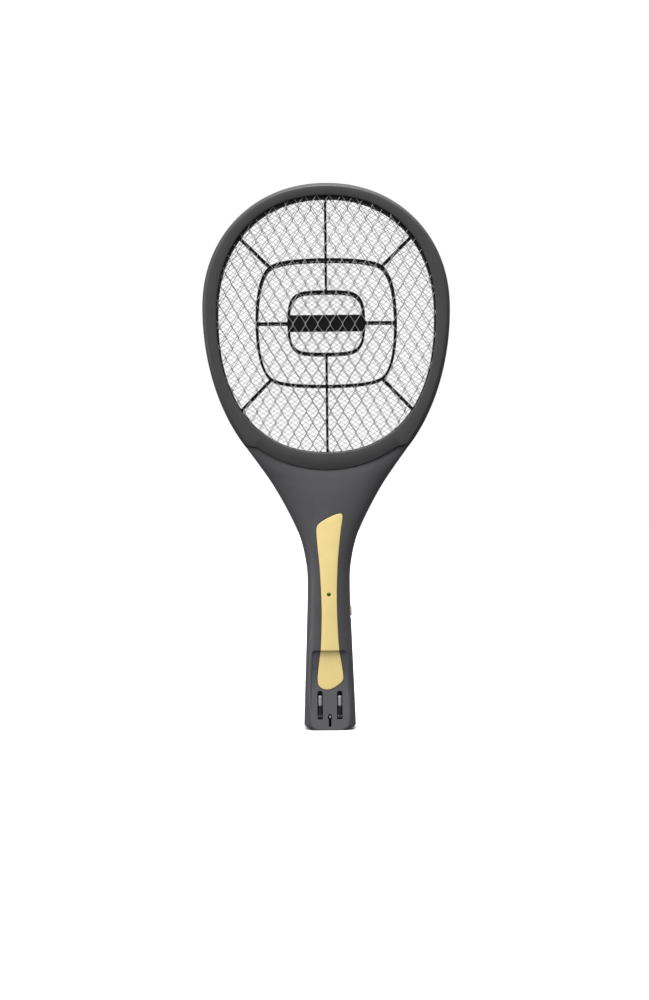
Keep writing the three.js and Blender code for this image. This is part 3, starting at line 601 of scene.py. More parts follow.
def straight_wires():
    """The fine weave: two layers of straight wires that cross."""
    pitch_x, pitch_z = MIDDLE_MESH_PITCH
    wires = []
    for lean in (-1, 1):
        y = lean * MIDDLE_WIRE * 0.8
        direction = np.array([pitch_x, 0, lean * pitch_z])
        for k in range(-50, 51):
            start = np.array([k * pitch_x, y, FRAME_CENTRE_Z])
            spread = np.arange(-60, 61)[:, None] * direction / 2
            wires += clipped(start + spread, UNDER_RING)
    return [np.array([wire[0], wire[-1]]) for wire in wires]


def border(y, thickness):
    """The flat strip that holds the wires' ends, hidden under the ring."""
    outer, inner = opening_loop(3.4), opening_loop(1.3)
    sections = []
    for a, b in zip(outer, inner):
        half = thickness / 2
        sections.append([
            (a[0], y - half, a[1]), (a[0], y + half, a[1]),
            (b[0], y + half, b[1]), (b[0], y - half, b[1]),
        ])
    return loft("border", sections, closed_round=True)


def wire_grid(name, paths, radius, y, tab_x, sides):
    """Wires in a flat border, with a tab that goes down into the neck."""
    points, faces = many_tubes(paths, radius, sides)
    wires = mesh_object("wires", points, faces)
    tab = soft_block(
        "tab", (tab_x - 2.5, tab_x + 2.5), (y - 0.3, y + 0.3),
        (SEAM_BOTTOM_Z + 4, OPENING_BOTTOM_Z - 1.5), 0.15, 2,
    )
    return merge(name, [wires, border(y, 0.66), tab])


# ------------------------------------------------------------ support frames

def smooth_bar(name, start, end, y_span, width=RIB_WIDTH):
    """A straight rib with rounded edges between two [x, z] points."""
    (x0, z0), (x1, z1) = start, end
    length = math.hypot(x1 - x0, z1 - z0)
    bar = soft_block(name, (0, length), y_span, (-width / 2, width / 2), 0.35, 2)
    turn = Matrix.Rotation(-math.atan2(z1 - z0, x1 - x0), 4, "Y")
    bar.data.transform(Matrix.Translation((mm(x0), 0, mm(z0))) @ turn)
    return bar


def rounded_section(width, low, high, radius=0.35):
    """Half-turns of a rib's section, as (across, y) with rounded corners."""
    points = []
    corners = [(width / 2, low), (width / 2, high), (-width / 2, high), (-width / 2, low)]
    for k, (across, y) in enumerate(corners):
        centre = (across - math.copysign(radius, across), y + (radius if y == low else -radius))
        for step in range(4):
            turn = -math.pi / 2 + k * math.pi / 2 + step * math.pi / 6
            points.append((centre[0] + radius * math.cos(turn), centre[1] + radius * math.sin(turn)))
    return points


# Straight ribs by their ends. The side ones repeat on the other side.
MIDDLE_RIBS = [((0, 417), (0, 509)), ((0, 262), (0, 357))]
SIDE_RIBS = [((35.5, 387), (66, 387)), ((52.6, 440), (83, 470.2)), ((52.6, 334), (81.8, 304.2))]
PLATE_HALF_WIDTH = 36.2
PLATE_SPAN_Z = (380.1, 394.4)

# Quarter of each closed rib, as [x, z] from its middle.
OUTER_BAND = [(66.2, 0), (65.5, 18), (62.9, 34.5), (58.5, 46.5), (52.6, 53.6), (39.7, 57.8), (20, 59.8)]
INNER_BAND = [(35.9, 0), (35.4, 12), (33.8, 19), (30.4, 24.4), (24.6, 27.9), (12, 29.5)]


def four_quarters(quarter, top):
    """The closed line that a quarter and its mirror images make."""
    right = quarter + [(0, top)]
    upper = right + [(-x, z) for x, z in reversed(right[:-1])]
    return upper + [(x, -z) for x, z in reversed(upper[1:-1])]


def band(name, quarter, top, y_span):
    """A closed rib with bulging sides and tight corners."""
    line = centripetal(four_quarters(quarter, top), 6) + [0, FRAME_CENTRE_Z]
    sections = []
    for (x, z), (ax, az) in zip(line, along(line)):
        sections.append([
            (x + az * across, y, z - ax * across)
            for across, y in rounded_section(RIB_WIDTH, *y_span)
        ])
    return loft(name, sections, closed_round=True)


def frame_rim(y_face, y_inner):
    """The rim that carries the ribs and shows as a thin black lip."""
    sections = []
    for outer, inner, away, _ in STATIONS:
        lip, back = inner - away * LIP, inner + away * 4
        sections.append([
            (lip[0] + away[0] * 0.3, y_face, lip[1] + away[1] * 0.3),
            (lip[0] + away[0] * 0.08, y_face + 0.1, lip[1] + away[1] * 0.08),
            (lip[0], y_face + 0.4, lip[1]), (lip[0], y_inner, lip[1]),
            (back[0], y_inner, back[1]), (back[0], y_face, back[1]),
        ])
    return loft("rim", sections, closed_round=True)


def support_frame(name, side):
    """The black frame: rim, two bands, ribs, centre plate and the neck tongue."""
    face, inner = FRAME_LOW[1], FRAME_HIGH[1]
    ribs = (face, face + RIB_DEPTH)
    frame_piece = frame_rim(face, inner)
    join(frame_piece, band("outer_band", OUTER_BAND, 60.3, ribs))
    join(frame_piece, band("inner_band", INNER_BAND, 29.7, ribs))
    join(frame_piece, soft_block("plate", (-PLATE_HALF_WIDTH, PLATE_HALF_WIDTH), ribs, PLATE_SPAN_Z))
    for start, end in MIDDLE_RIBS:
        join(frame_piece, smooth_bar("rib", start, end, ribs))
    for way in (-1, 1):
        for (x0, z0), (x1, z1) in SIDE_RIBS:
            join(frame_piece, smooth_bar("rib", (way * x0, z0), (way * x1, z1), ribs, THIN_RIB))
    tongue_y, tongue_z = (inner - TONGUE_DEPTH, inner), (TONGUE_FOOT_Z, OPENING_BOTTOM_Z - 1.5)
    tongue = soft_block("tongue", (-TONGUE_REACH, TONGUE_REACH), tongue_y, tongue_z, 0.4, 2)
    join(frame_piece, tongue)
    for corners in HANDLE_SCREWS[:2]:
        x, z = screw_spot(corners)
        cut(frame_piece, rod("bore", "y", SCREW_BORE, (-9, 1), (x, 0, z), 24))
    frame_piece.name = name
    if side > 0:
        mirror_front_to_back(frame_piece)
        shade(frame_piece)
    return frame_piece


# ------------------------------------------------------------ handle shells

SIDE_LINE = catmull([
    (24.6, 4.3), (23.3, 45), (21.6, 91), (20.3, 136), (21.5, 158),
    (26.8, 182), (36.8, 205), (53.6, 235), (SHOULDER_X - 0.3, SHELL_HIGH[2]),
], 16)
ROLL_REACH = 27.0
ROLL_DROP = 1.6
FOOT_HALF_WIDTH = 19.1
FOOT_TOP_Z = 4.3
FOOT_SHRINK = {0: 0.8, 0.12: 0.4, 0.4: 0.08, 0.8: 0}

# Depth of each half by height. Both halves share the grip's top and the neck.
NECK_DEPTHS = [(136, 18.2), (175, 16.7), (205, 14.6), (235, 12.6), (269, HEAD_DEPTH)]
front_depth = smooth_line(
    [(0, 15.5), (FOOT_TOP_Z, 15.8), (40, 17.2), (PANEL_TOP_Z, 18.5)] + NECK_DEPTHS
)
rear_depth = smooth_line([(0, 17.3), (FOOT_TOP_Z, 18.2), (30, REAR_HIGH[1])] + NECK_DEPTHS)
section_power = smooth_line([
    (0, 5.5), (25, 5), (50, 4.2), (PANEL_TOP_Z, 3.5), (100, 2.9), (160, 2.6), (205, 2.6), (235, 3),
    (269, 7),
])


def half_width(z):
    if z < FOOT_TOP_Z:
        share = z / FOOT_TOP_Z
        return FOOT_HALF_WIDTH + (SIDE_LINE[0][0] - FOOT_HALF_WIDTH) * share
    return float(np.interp(z, SIDE_LINE[:, 1], SIDE_LINE[:, 0]))


def depth_at(side, z):
    return float(front_depth(z) if side < 0 else rear_depth(z))


def roll_off(x, z):
    """Share of the depth left where the neck rolls down towards the head's seam."""
    near = min(max(1 - (seam_z(x) - z) / ROLL_REACH, 0), 1.2)
    return 1 - ROLL_DROP * near**2 / HEAD_DEPTH


def surface_y(x, z, side=-1, inset=0.0):
    """Where the handle's surface lies in Y over a point [x, z]."""
    power = float(section_power(z))
    share = min(abs(x) / (half_width(z) - inset), 0.999)
    return side * (depth_at(side, z) * roll_off(x, z) - inset) * (1 - share**power) ** (1 / power)


def even(points, count):
    """The same line through points spread evenly along it."""
    points = np.asarray(points, float)
    steps = np.concatenate([[0], np.cumsum(np.linalg.norm(np.diff(points, axis=0), axis=1))])
    wanted = np.linspace(0, steps[-1], count)
    return np.stack([np.interp(wanted, steps, points[:, k]) for k in range(2)], axis=1)


def half_section(side, z, inset, count, split):
    """Half of the handle's section, from -X round the outside to +X."""
    width, depth = half_width(z) - inset, depth_at(side, z) - inset
    power = float(section_power(z))
    angle = np.linspace(0, math.pi, 721)
    c, s = np.cos(angle), np.clip(np.sin(angle), 0, 1)
    x = -width * np.sign(c) * np.abs(c) ** (2 / power)
    y = depth * s ** (2 / power)
    line = even(np.stack([x, np.maximum(y, split)], axis=1), count)
    return [(px, side * max(py * roll_off(px, z), min(py, split)), z) for px, py in line]


def handle_half(name, side, inset, z_span, step=2.2, count=72):
    """One half of the handle as a full solid; the outside one has its edges broken."""
    outside = inset == 0
    heights = set(np.linspace(*z_span, int(round((z_span[1] - z_span[0]) / step)) + 1))
    if outside:
        heights = {z for z in heights if z > 1.2} | set(FOOT_SHRINK)
        heights |= {FOOT_TOP_Z + away for away in (-0.7, 0, 0.7)}
    rings = []
    for z in sorted(heights):
        if outside:
            ring = half_section(side, z, FOOT_SHRINK.get(z, 0), count, SPLIT_GAP)
            left, right = ring[0][0], ring[-1][0]
            ring[0] = (left, side * (SPLIT_GAP + 0.25), z)
            ring[-1] = (right, side * (SPLIT_GAP + 0.25), z)
            for inwards, y in ((0.25, SPLIT_GAP), (SPLIT_GROOVE, SPLIT_GAP), (SPLIT_GROOVE, 0)):
                ring = [(left + inwards, side * y, z)] + ring + [(right - inwards, side * y, z)]
        else:
            ring = half_section(side, z, inset, count, -1)
            ring = [(-ring[-1][0], -side, z)] + ring + [(ring[-1][0], -side, z)]
        rings.append(ring)
    return loft(name, rings)


FLAT_AREA = 20e-6
NEAR_FACE = 0.97
NEAR_CORNER = 0.94


def borrow_normals(obj, model_object):
    """Where obj still lies on the uncut model's surface, it takes the model's smooth normals.

    Elsewhere its large faces are flat, so they keep one normal from edge to edge.
    """
    mesh, model = obj.data, model_object.data
    corners = [v.co.copy() for v in model.vertices]
    polygons = [list(p.vertices) for p in model.polygons]
    tree = BVHTree.FromPolygons(corners, polygons)
    bends = [n.vector.copy() for n in model.corner_normals]
    normals = [n.vector.copy() for n in mesh.corner_normals]
    near = mm(0.02)
    for face in mesh.polygons:
        spot, flat, index, far = tree.find_nearest(face.center, mm(0.5))
        if spot is None or far > near or flat.dot(face.normal) < NEAR_FACE:
            if face.area > FLAT_AREA:
                for loop in face.loop_indices:
                    normals[loop] = face.normal.copy()
            continue
        for loop in face.loop_indices:
            place = mesh.vertices[mesh.loops[loop].vertex_index].co
            spot, flat, index, far = tree.find_nearest(place, mm(0.5))
            if spot is None or far > near or flat.dot(face.normal) < NEAR_CORNER:
                continue
            owner = model.polygons[index]
            weights = poly_3d_calc([corners[i] for i in owner.vertices], spot)
            normal = Vector((0, 0, 0))
            for weight, own_loop in zip(weights, owner.loop_indices):
                normal += bends[own_loop] * weight
            if normal.length > 0.5:
                normals[loop] = normal.normalized()
    mesh.normals_split_custom_set([tuple(n) for n in normals])
    bpy.data.objects.remove(model_object)


# -- the yellow inlay and its pocket

INLAY_LINE = [
    (13.8, 202.6), (12.9, 205.0), (10.2, 205.2), (2, 202.3), (-6.6, 197.6), (-10.5, 193.8),
    (-11.4, 189.2), (-8.8, 156.5), (-7.1, 114.8), (-8.4, 75.7), (-11.4, 44.8), (-9.3, 40.9),
    (-4.1, 38.4), (1.9, 39.2), (8, 42.7), (12.4, 46.9), (13.1, 50.4), (9.5, 75.7),
    (8, 104), (7.7, 131), (9.4, 165.9), (12.6, 193.5),
]
INLAY_THICKNESS = 1.3
INLAY_GAP = 0.3
INLAY_OUTLINE = centripetal(INLAY_LINE, 10)


def grown(outline, distance):
    """A closed outline moved outwards; the outline runs anticlockwise."""
    ahead = along(outline)
    area = np.sum(outline[:, 0] * np.roll(outline[:, 1], -1) - np.roll(outline[:, 0], -1) * outline[:, 1])
    turn = math.copysign(1, area)
    return outline + turn * distance * np.stack([ahead[:, 1], -ahead[:, 0]], axis=1)


def edges_at(outline, heights):
    """Left and right edge of a closed outline at each height."""
    start, end = outline, np.roll(outline, -1, axis=0)
    found = []
    for z in heights:
        crossing = (start[:, 1] - z) * (end[:, 1] - z) <= 0
        a, b = start[crossing], end[crossing]
        rise = np.where(np.abs(b[:, 1] - a[:, 1]) < 1e-9, 1, b[:, 1] - a[:, 1])
        x = a[:, 0] + (b[:, 0] - a[:, 0]) * np.clip((z - a[:, 1]) / rise, 0, 1)
        found.append((x.min(), x.max()))
    return found


def distance_to(outline, points):
    start, step = outline, np.roll(outline, -1, axis=0) - outline
    length2 = np.maximum((step**2).sum(1), 1e-12)
    offset = points[:, None, :] - start[None]
    share = np.clip((offset * step).sum(2) / length2, 0, 1)
    return np.linalg.norm(offset - share[..., None] * step, axis=2).min(1)


def eased(count, reach=3.0):
    """Places from 0 to 1, crowded towards both ends."""
    t = np.linspace(-1, 1, count)
    return 0.5 + 0.5 * np.tanh(reach * t) / math.tanh(reach)


def inlay_rows():
    """Rows over the inlay: height, wall side, extra sink, and where the back lies."""
    low, high = INLAY_OUTLINE[:, 1].min() + 0.004, INLAY_OUTLINE[:, 1].max() - 0.004
    step, thick = PANEL_TOP_Z, INLAY_THICKNESS
    below = low + (step - low) * (1 - np.cos(np.linspace(0, math.pi / 2, 30)))
    rows = [(z, 0, 0.0, 0.0) for z in below[:-1]]
    rows += [(step, 0, 0.0, thick), (step, 1, 0.45, thick), (step + 0.13, 1, 0.13, thick - 0.13)]
    rows += [(step + 0.45, 1, 0.0, thick - 0.45), (step + thick, 1, 0.0, 0.0)]
    start = step + thick + 1.5
    above = start + (high - start) * np.sin(np.linspace(0, math.pi / 2, 76))
    return rows + [(z, 1, 0.0, 0.0) for z in above]


def inlay_piece():
    """The yellow strip: follows the handle, drops over the step and ends on the panel."""
    columns, rounding, drop = 33, 0.75, 0.12
    rows = inlay_rows()
    edges = edges_at(INLAY_OUTLINE, [row[0] for row in rows])
    spread = eased(columns, 2.2)
    top, bottom = [], []
    for (z, on_handle, sink, back), (left, right) in zip(rows, edges):
        x = left + (right - left) * spread
        far = distance_to(INLAY_OUTLINE, np.stack([x, np.full(columns, z)], axis=1))
        near = np.clip(rounding - far, 0, rounding)
        round_off = rounding - np.sqrt(rounding**2 - near**2)
        crown = 0.10 * np.clip(far / 5, 0, 1)
        for k in range(columns):
            face = surface_y(x[k], z) if on_handle else PANEL_Y
            y = face + drop + round_off[k] - crown[k] + sink
            rest = surface_y(x[k], z + back) if on_handle else PANEL_Y
            top.append((x[k], y, z))
            bottom.append((x[k], rest + INLAY_THICKNESS, z + back))
    count = len(rows)
    points = top + bottom
    base = len(top)
    faces = skin_faces(count, columns, False, False)
    faces += [[base + i for i in reversed(face)] for face in faces]
    for i in range(count - 1):
        a, b = i * columns, (i + 1) * columns
        faces.append([a, b, base + b, base + a])
        a, b = a + columns - 1, b + columns - 1
        faces.append([b, a, base + a, base + b])
    for j in range(columns - 1):
        faces.append([j + 1, j, base + j, base + j + 1])
        last = (count - 1) * columns + j
        faces.append([last, last + 1, base + last + 1, base + last])
    strip = mesh_object("inlay_strip_moulding", points, faces, 50)
    hole = [(1.8, -12), (1.8, -17.85), (2.15, -18.6), (2.15, -22)]
    return cut(strip, turned("hole", "y", hole, (0, 0, LED_Z)))


def pocket_cutter():
    """What the front shell loses for the inlay: its outline grown by the gap."""
    outline = grown(INLAY_OUTLINE, INLAY_GAP)
    deep = INLAY_THICKNESS + INLAY_GAP
    prism = extruded("pocket", outline, (-25, -5))
    core = handle_half("core", -1, deep, (PANEL_TOP_Z + deep, 216), 3, 60)
    low_core = block("low_core", (-30, 30), (PANEL_Y + deep, 1), (20, PANEL_TOP_Z + deep + 0.1))
    return cut(prism, core, low_core)


# -- edges, recess, slots

def edge_tool(name, line, outward, surface, size):
    """A cutter that breaks an edge: it follows a line on a surface.

    line holds [x, z] points, outward the directions away from the cut, surface
    gives Y over a point, and size the width of the broken edge at each point.
    """
    sections = []
    for (x, z), (nx, nz), width in zip(line, outward, size):
        profile = [(-0.6, -0.6), (width, -0.6), (width, -0.05), (width * 0.72, width * 0.16),
                   (width * 0.4, width * 0.5), (width * 0.1, width), (-0.6, width * 1.3)]
        sections.append([
            (x + nx * out, surface(x + nx * out, max(z + nz * out, 0)) + down, z + nz * out)
            for out, down in profile
        ])
    return loft(name, sections)


def line_normals(line):
    ahead = unit(np.gradient(np.asarray(line, float), axis=0))
    return np.stack([-ahead[:, 1], ahead[:, 0]], axis=1)


def recess_line():
    """The recess edge from bottom left, over its round corners, to bottom right."""
    radius, foot, head, start = 3.4, 18.3, 16.4, -2
    side = [(-foot + (foot - head) * t, start + (PANEL_TOP_Z - radius - start) * t)
            for t in np.linspace(0, 1, 40)]
    corner = arc((-head + radius, PANEL_TOP_Z - radius), radius, 180, 90, 12)[1:]
    across = [(x, PANEL_TOP_Z) for x in np.linspace(-head + radius, 0, 12)[1:]]
    left = side + corner + across
    return np.array(left + [(-x, z) for x, z in reversed(left[:-1])])


def recess_cutters():
    line = recess_line()
    outline = extruded("recess", line, (-30, PANEL_Y))
    outward = line_normals(line)
    proud = np.array([-surface_y(x, max(z, 0)) + PANEL_Y for x, z in line])
    keep = (proud > 0.12) & (line[:, 1] > 2)
    size = np.clip(proud[keep], 0.15, 0.55)
    edge = edge_tool("recess_edge", line[keep], outward[keep], surface_y, size)
    return [outline, edge]


def flared(name, outline, face_y, floor_y, flare=0.35):
    """A pocket cutter whose mouth widens at a flat face."""
    levels = [(face_y - 2, flare + 0.03), (face_y - 0.03, flare + 0.03),
              (face_y + flare * 0.25, flare * 0.3), (face_y + flare, 0), (floor_y, 0)]
    return loft(name, [
        [(x, y, z) for x, z in grown(outline, out)] for y, out in levels
    ])


def slot_outline(x):
    half, corner = SLOT_WIDTH / 2, 0.4
    return np.array(
        arc((x - half + corner, SLOT_BOTTOM_Z + corner), corner, 180, 270, 5)
        + arc((x + half - corner, SLOT_BOTTOM_Z + corner), corner, 270, 360, 5)
        + arc((x, SLOT_TOP_Z - half), half, 0, 180, 25)
    )


def keyhole_outline():
    """An upright oval over a narrow stem."""
    wide, tall, stem, foot = 2.0, 3.0, 1.2, 3.7
    lean = math.degrees(math.asin(stem / wide))
    oval = [(x * wide, PIVOT[2] + z * tall) for x, z in arc((0, 0), 1, -90 + lean, 270 - lean, 31)]
    return np.array(
        arc((-stem + 0.4, foot), 0.4, 180, 270, 4) + arc((stem - 0.4, foot), 0.4, 270, 360, 4) + oval
    )


def plug_cutters():
    back = PANEL_Y + WALL
    cutters = [
        rod("bore", "x", 1.3, (-14.5, 14.5), (0, PIVOT[1], PIVOT[2]), 32),
        rod("way", "x", 1.8, (-5.6, 5.6), (0, PIVOT[1], PIVOT[2]), 32),
        flared("keyhole", keyhole_outline(), PANEL_Y, back + 1, 0.3),
    ]
    for x in (-PIN_X, PIN_X):
        cutters.append(flared("slot", slot_outline(x), PANEL_Y, SLOT_FLOOR_Y))
        half = SLOT_WIDTH / 2
        cutters.append(block("eye", (x - half, x + half), (-14.3, -8.8), (8.7, 17)))
    return cutters


# -- seam and button opening

def seam_cutters(side):
    xs = np.linspace(-90, 90, 241)
    line = np.array([(x, seam_z(x) - SEAM_GAP) for x in xs])
    outline = np.vstack([line, [(90, 290), (-90, 290)]])
    beyond = extruded("seam", outline, (-30, 30))
    inside = [i for i, (x, z) in enumerate(line) if abs(x) < half_width(min(z, SHELL_HIGH[2])) - 4.2]
    part = line[inside]
    outward = -line_normals(part)
    size = np.full(len(part), 0.4)

    def surface(x, z):
        return -abs(surface_y(x, z, side))

    edge = edge_tool("seam_edge", part, outward, surface, size)
    if side > 0:
        mirror_front_to_back(edge)
    return [beyond, edge]


def seam_lip():
    """A thin inner lip that stops light passing straight through the seam."""
    reach, near, far, tall = 66, -8.2, -5.4, 3
    rows = []
    for x in np.linspace(-reach, reach, 67):
        top = seam_z(x) - 0.03
        rows.append([(x, near, top), (x, far, top), (x, far, top - tall), (x, near, top - tall)])
    return loft("seam_lip", rows)


def button_cutters():
    """A soft thumb scoop in the side, with the button's way through its floor."""
    radius, centre_x = 30, 49.9
    profile = []
    reach, flat = 9.8, 6.4
    for y in np.linspace(-reach, reach, 49):
        over = max(abs(y) - flat, 0) / (reach - flat)
        profile.append((radius - 1.6 * (1 - math.sqrt(max(1 - over**2, 0))), y))
    scoop = turned("scoop", "y", profile, (centre_x, 0, BUTTON_Z), 180)
    half_y, half_z, corner = 3.3, 5.6, 1.5
    outline = []
    for y_way, z_way, turn in ((1, -1, 270), (1, 1, 0), (-1, 1, 90), (-1, -1, 180)):
        centre = (y_way * (half_y - corner), BUTTON_Z + z_way * (half_z - corner))
        outline += arc(centre, corner, turn, turn + 90, 7)
    opening = loft("opening", [[(x, y, z) for y, z in outline] for x in (15, 24)])
    return [scoop, opening]


# -- shells

SHELL_TOP_Z = 272


def screw_posts(shell, side):
    for corners in HANDLE_SCREWS:
        x, z = screw_spot(corners)
        in_neck = z > TONGUE_FOOT_Z
        inner = side * abs(FRAME_HIGH[1] - TONGUE_DEPTH - 0.3 if in_neck else SPLIT_GAP)
        outer = side * (depth_at(side, z) - 1.4)
        radius = 2.9 if side < 0 else 3.5
        join(shell, rod("post", "y", radius, sorted([inner, outer]), (x, 0, z), 40))
        if side < 0:
            cut(shell, rod("bore", "y", SCREW_BORE, (outer + 2.2, 1), (x, 0, z), 32))
        else:
            cut(shell, rod("bore", "y", SCREW_BORE, (-1, 30), (x, 0, z), 32))
            face = surface_y(x, z, side)
            cut(shell, counterbore(x, z, outer - 1.8, face, 2.5))


def shell_blanks(name, side):
    """A solid half of the handle, a copy that keeps its normals, and its hollow."""
    shell = handle_half(name, side, 0, (0, SHELL_TOP_Z), 1.8, 96)
    model = shell.copy()
    model.data = shell.data.copy()
    return shell, model, handle_half("hollow", side, WALL, (WALL, SHELL_TOP_Z + 2), 4, 40)


def front_shell():
    shell, model, hollow = shell_blanks("front_shell_moulding", -1)
    floor = block("floor", (-30, 30), (-30, PANEL_Y + WALL), (-1, PANEL_TOP_Z + WALL))
    cut(hollow, floor)
    cut(shell, hollow)
    half = SLOT_WIDTH / 2 + 1.2
    for x in (-PIN_X, PIN_X):
        join(shell, block("guide", (x - half, x + half), (-13.5, -9.4), (7.5, 39.5)))
    screw_posts(shell, -1)
    lamp = [(1.8, -12), (1.8, -20)]
    cut(shell, *recess_cutters(), pocket_cutter(), turned("lamp", "y", lamp, (0, 0, LED_Z)))
    cut(shell, *seam_cutters(-1), *plug_cutters(), *button_cutters())
    join(shell, seam_lip())
    borrow_normals(shell, model)
    return shell


def rear_shell():
    shell, model, hollow = shell_blanks("rear_shell_moulding", 1)
    cut(shell, hollow)
    screw_posts(shell, 1)
    cut(shell, *seam_cutters(1), *button_cutters())
    borrow_normals(shell, model)
    return shell


# -------------------------------------------------------------------- screws

def screw_piece(name, corners):
    """A small self-tapping screw with a cross recess."""
    low, high = corners
    x, z = screw_spot(corners)
    tip, top = low[1], high[1]
    head = top - 1.5
    profile = [(0.05, tip), (0.45, tip + 0.3), (1.05, tip + 1)]
    place = tip + 1
    while place < head - 1.4:
        profile += [(1.25, place + 0.35), (1.0, place + 0.7)]
        place += 0.9
    profile += [(1.0, head), (1.95, head), (2.1, head + 0.15), (2.1, head + 0.55),
                (1.9, head + 0.95), (1.45, head + 1.25), (0.8, head + 1.44), (0.02, top)]
    screw = turned(name, "y", profile, (x, 0, z), 40)
    for turn in (0.3, 0.3 + math.pi / 2):
        width, reach = 0.24, 1.15
        bar = loft("bar", [
            [(-long, y, -wide), (long, y, -wide), (long, y, wide), (-long, y, wide)]
            for y, long, wide in ((top + 0.5, reach, width), (top - 0.25, reach, width),
                                  (head + 0.35, 0.35, width * 0.7))
        ])
        spot = Matrix.Translation((mm(x), 0, mm(z))) @ Matrix.Rotation(turn, 4, "Y")
        bar.data.transform(spot)
        cut(screw, bar)
    return screw


# ---------------------------------------------------------------- mains plug

def plug_arm(name, x):
    at = (x, PIVOT[1], PIVOT[2])
    top = ARM_HIGH[2]
    eye = turned(name, "x", [(2.0, -2.2), (2.3, -1.9), (2.3, 1.9), (2.0, 2.2)], at, 48)
    sleeve = turned("sleeve", "z", [
        (1.95, PIVOT[2]), (1.95, top - 0.3), (1.75, top),
    ], (x, PIVOT[1], 0), 40)
    join(eye, sleeve)
    cut(eye, rod("bore", "x", 1.3, (-3, 3), at, 32))
    return cut(eye, rod("bore", "z", 1.5, (PIVOT[2] + 2.4, top + 1), (x, PIVOT[1], 0), 32))


def plug_pin(name, x):
    low, high = PIN_LOW[2], PIN_HIGH[2]
    shoulder = ARM_HIGH[2] + 0.3
    radius, dome = 2.0, 1.0
    profile = [(1.1, low), (1.2, low + 0.1), (1.2, shoulder), (1.85, shoulder),
               (radius, shoulder + 0.15)]
    for angle in np.linspace(0, math.pi / 2, 12):
        profile.append((radius * math.cos(angle), high - dome + dome * math.sin(angle)))
    return turned(name, "z", profile, (x, PIVOT[1], 0), 48)


def plug_axle(name):
    """The dark rod through both arms."""
    end = AXLE_HIGH[0]
    profile = [(0.8, -end), (1, 0.2 - end), (1, end - 0.2), (0.8, end)]
    return turned(name, "x", profile, tuple(PIVOT), 40)


def axle_collar(name):
    """The bright collar that shows as an upright spot in the keyhole."""
    half, middle = 1.0, 0.25
    profile = [(1.45, middle - half), (1.7, middle - half + 0.25), (1.7, middle + half - 0.25),
               (1.45, middle + half)]
    collar = turned(name, "x", profile, tuple(PIVOT), 48)
    return cut(collar, rod("bore", "x", 1.03, (-3, 3), tuple(PIVOT), 40))


# -------------------------------------------------------------------- button

def button_piece():
    levels = [(17.0, 0), (20.3, 0), (20.9, 0.12), (21.35, 0.4), (21.65, 0.8), (21.82, 1.3),
              (BUTTON_HIGH[0], 2.1)]
    rings = []
    for x, less in levels:
        outline = superellipse(3.0 - less, 5.25 - less, 2.8, BUTTON_Z, 72)
        rings.append([(x, y, z) for y, z in outline])
    cap = loft("push_button_cap", rings)
    flange = soft_block("flange", (16, 17.4), (-4.2, 4.2), (BUTTON_Z - 6.6, BUTTON_Z + 6.6), 0.3, 2)
    join(cap, flange)
    cut(cap, rod("seat", "x", 3.1, (15.5, 18), (0, 0, BUTTON_Z), 40))
    return join(cap, rod("stud", "x", 1.7, (16, 18.2), (0, 0, BUTTON_Z), 40))


# ---------------------------------------------------------------------- lamp

def lamp_piece():
    """A small green lamp: domed lens with a collar, on two leads."""
    low, high = node_box("indicator_led")
    front = low[1]
    profile = [(0.01, front), (0.45, front + 0.04), (0.85, front + 0.16), (1.2, front + 0.4),
               (1.42, front + 0.75), (1.5, front + 1.1), (1.5, front + 3.4), (1.9, front + 3.4),
               (1.9, front + 4.3)]
    lens = turned("indicator_led_lens", "y", profile, (0, 0, LED_Z), 48)
    for x in (-0.9, 0.9):
        leg = block("leg", (x - 0.25, x + 0.25), (front + 4.1, high[1]), (LED_Z - 0.25, LED_Z + 0.25))
        join(lens, leg)
    return lens


# ----------------------------------------------------------------- materials

def linear(red, green, blue):
    """Scene colour of an sRGB colour given from 0 to 255."""
    def one(value):
        value /= 255
        return value / 12.92 if value <= 0.04045 else ((value + 0.055) / 1.055) ** 2.4
    return (one(red), one(green), one(blue), 1.0)


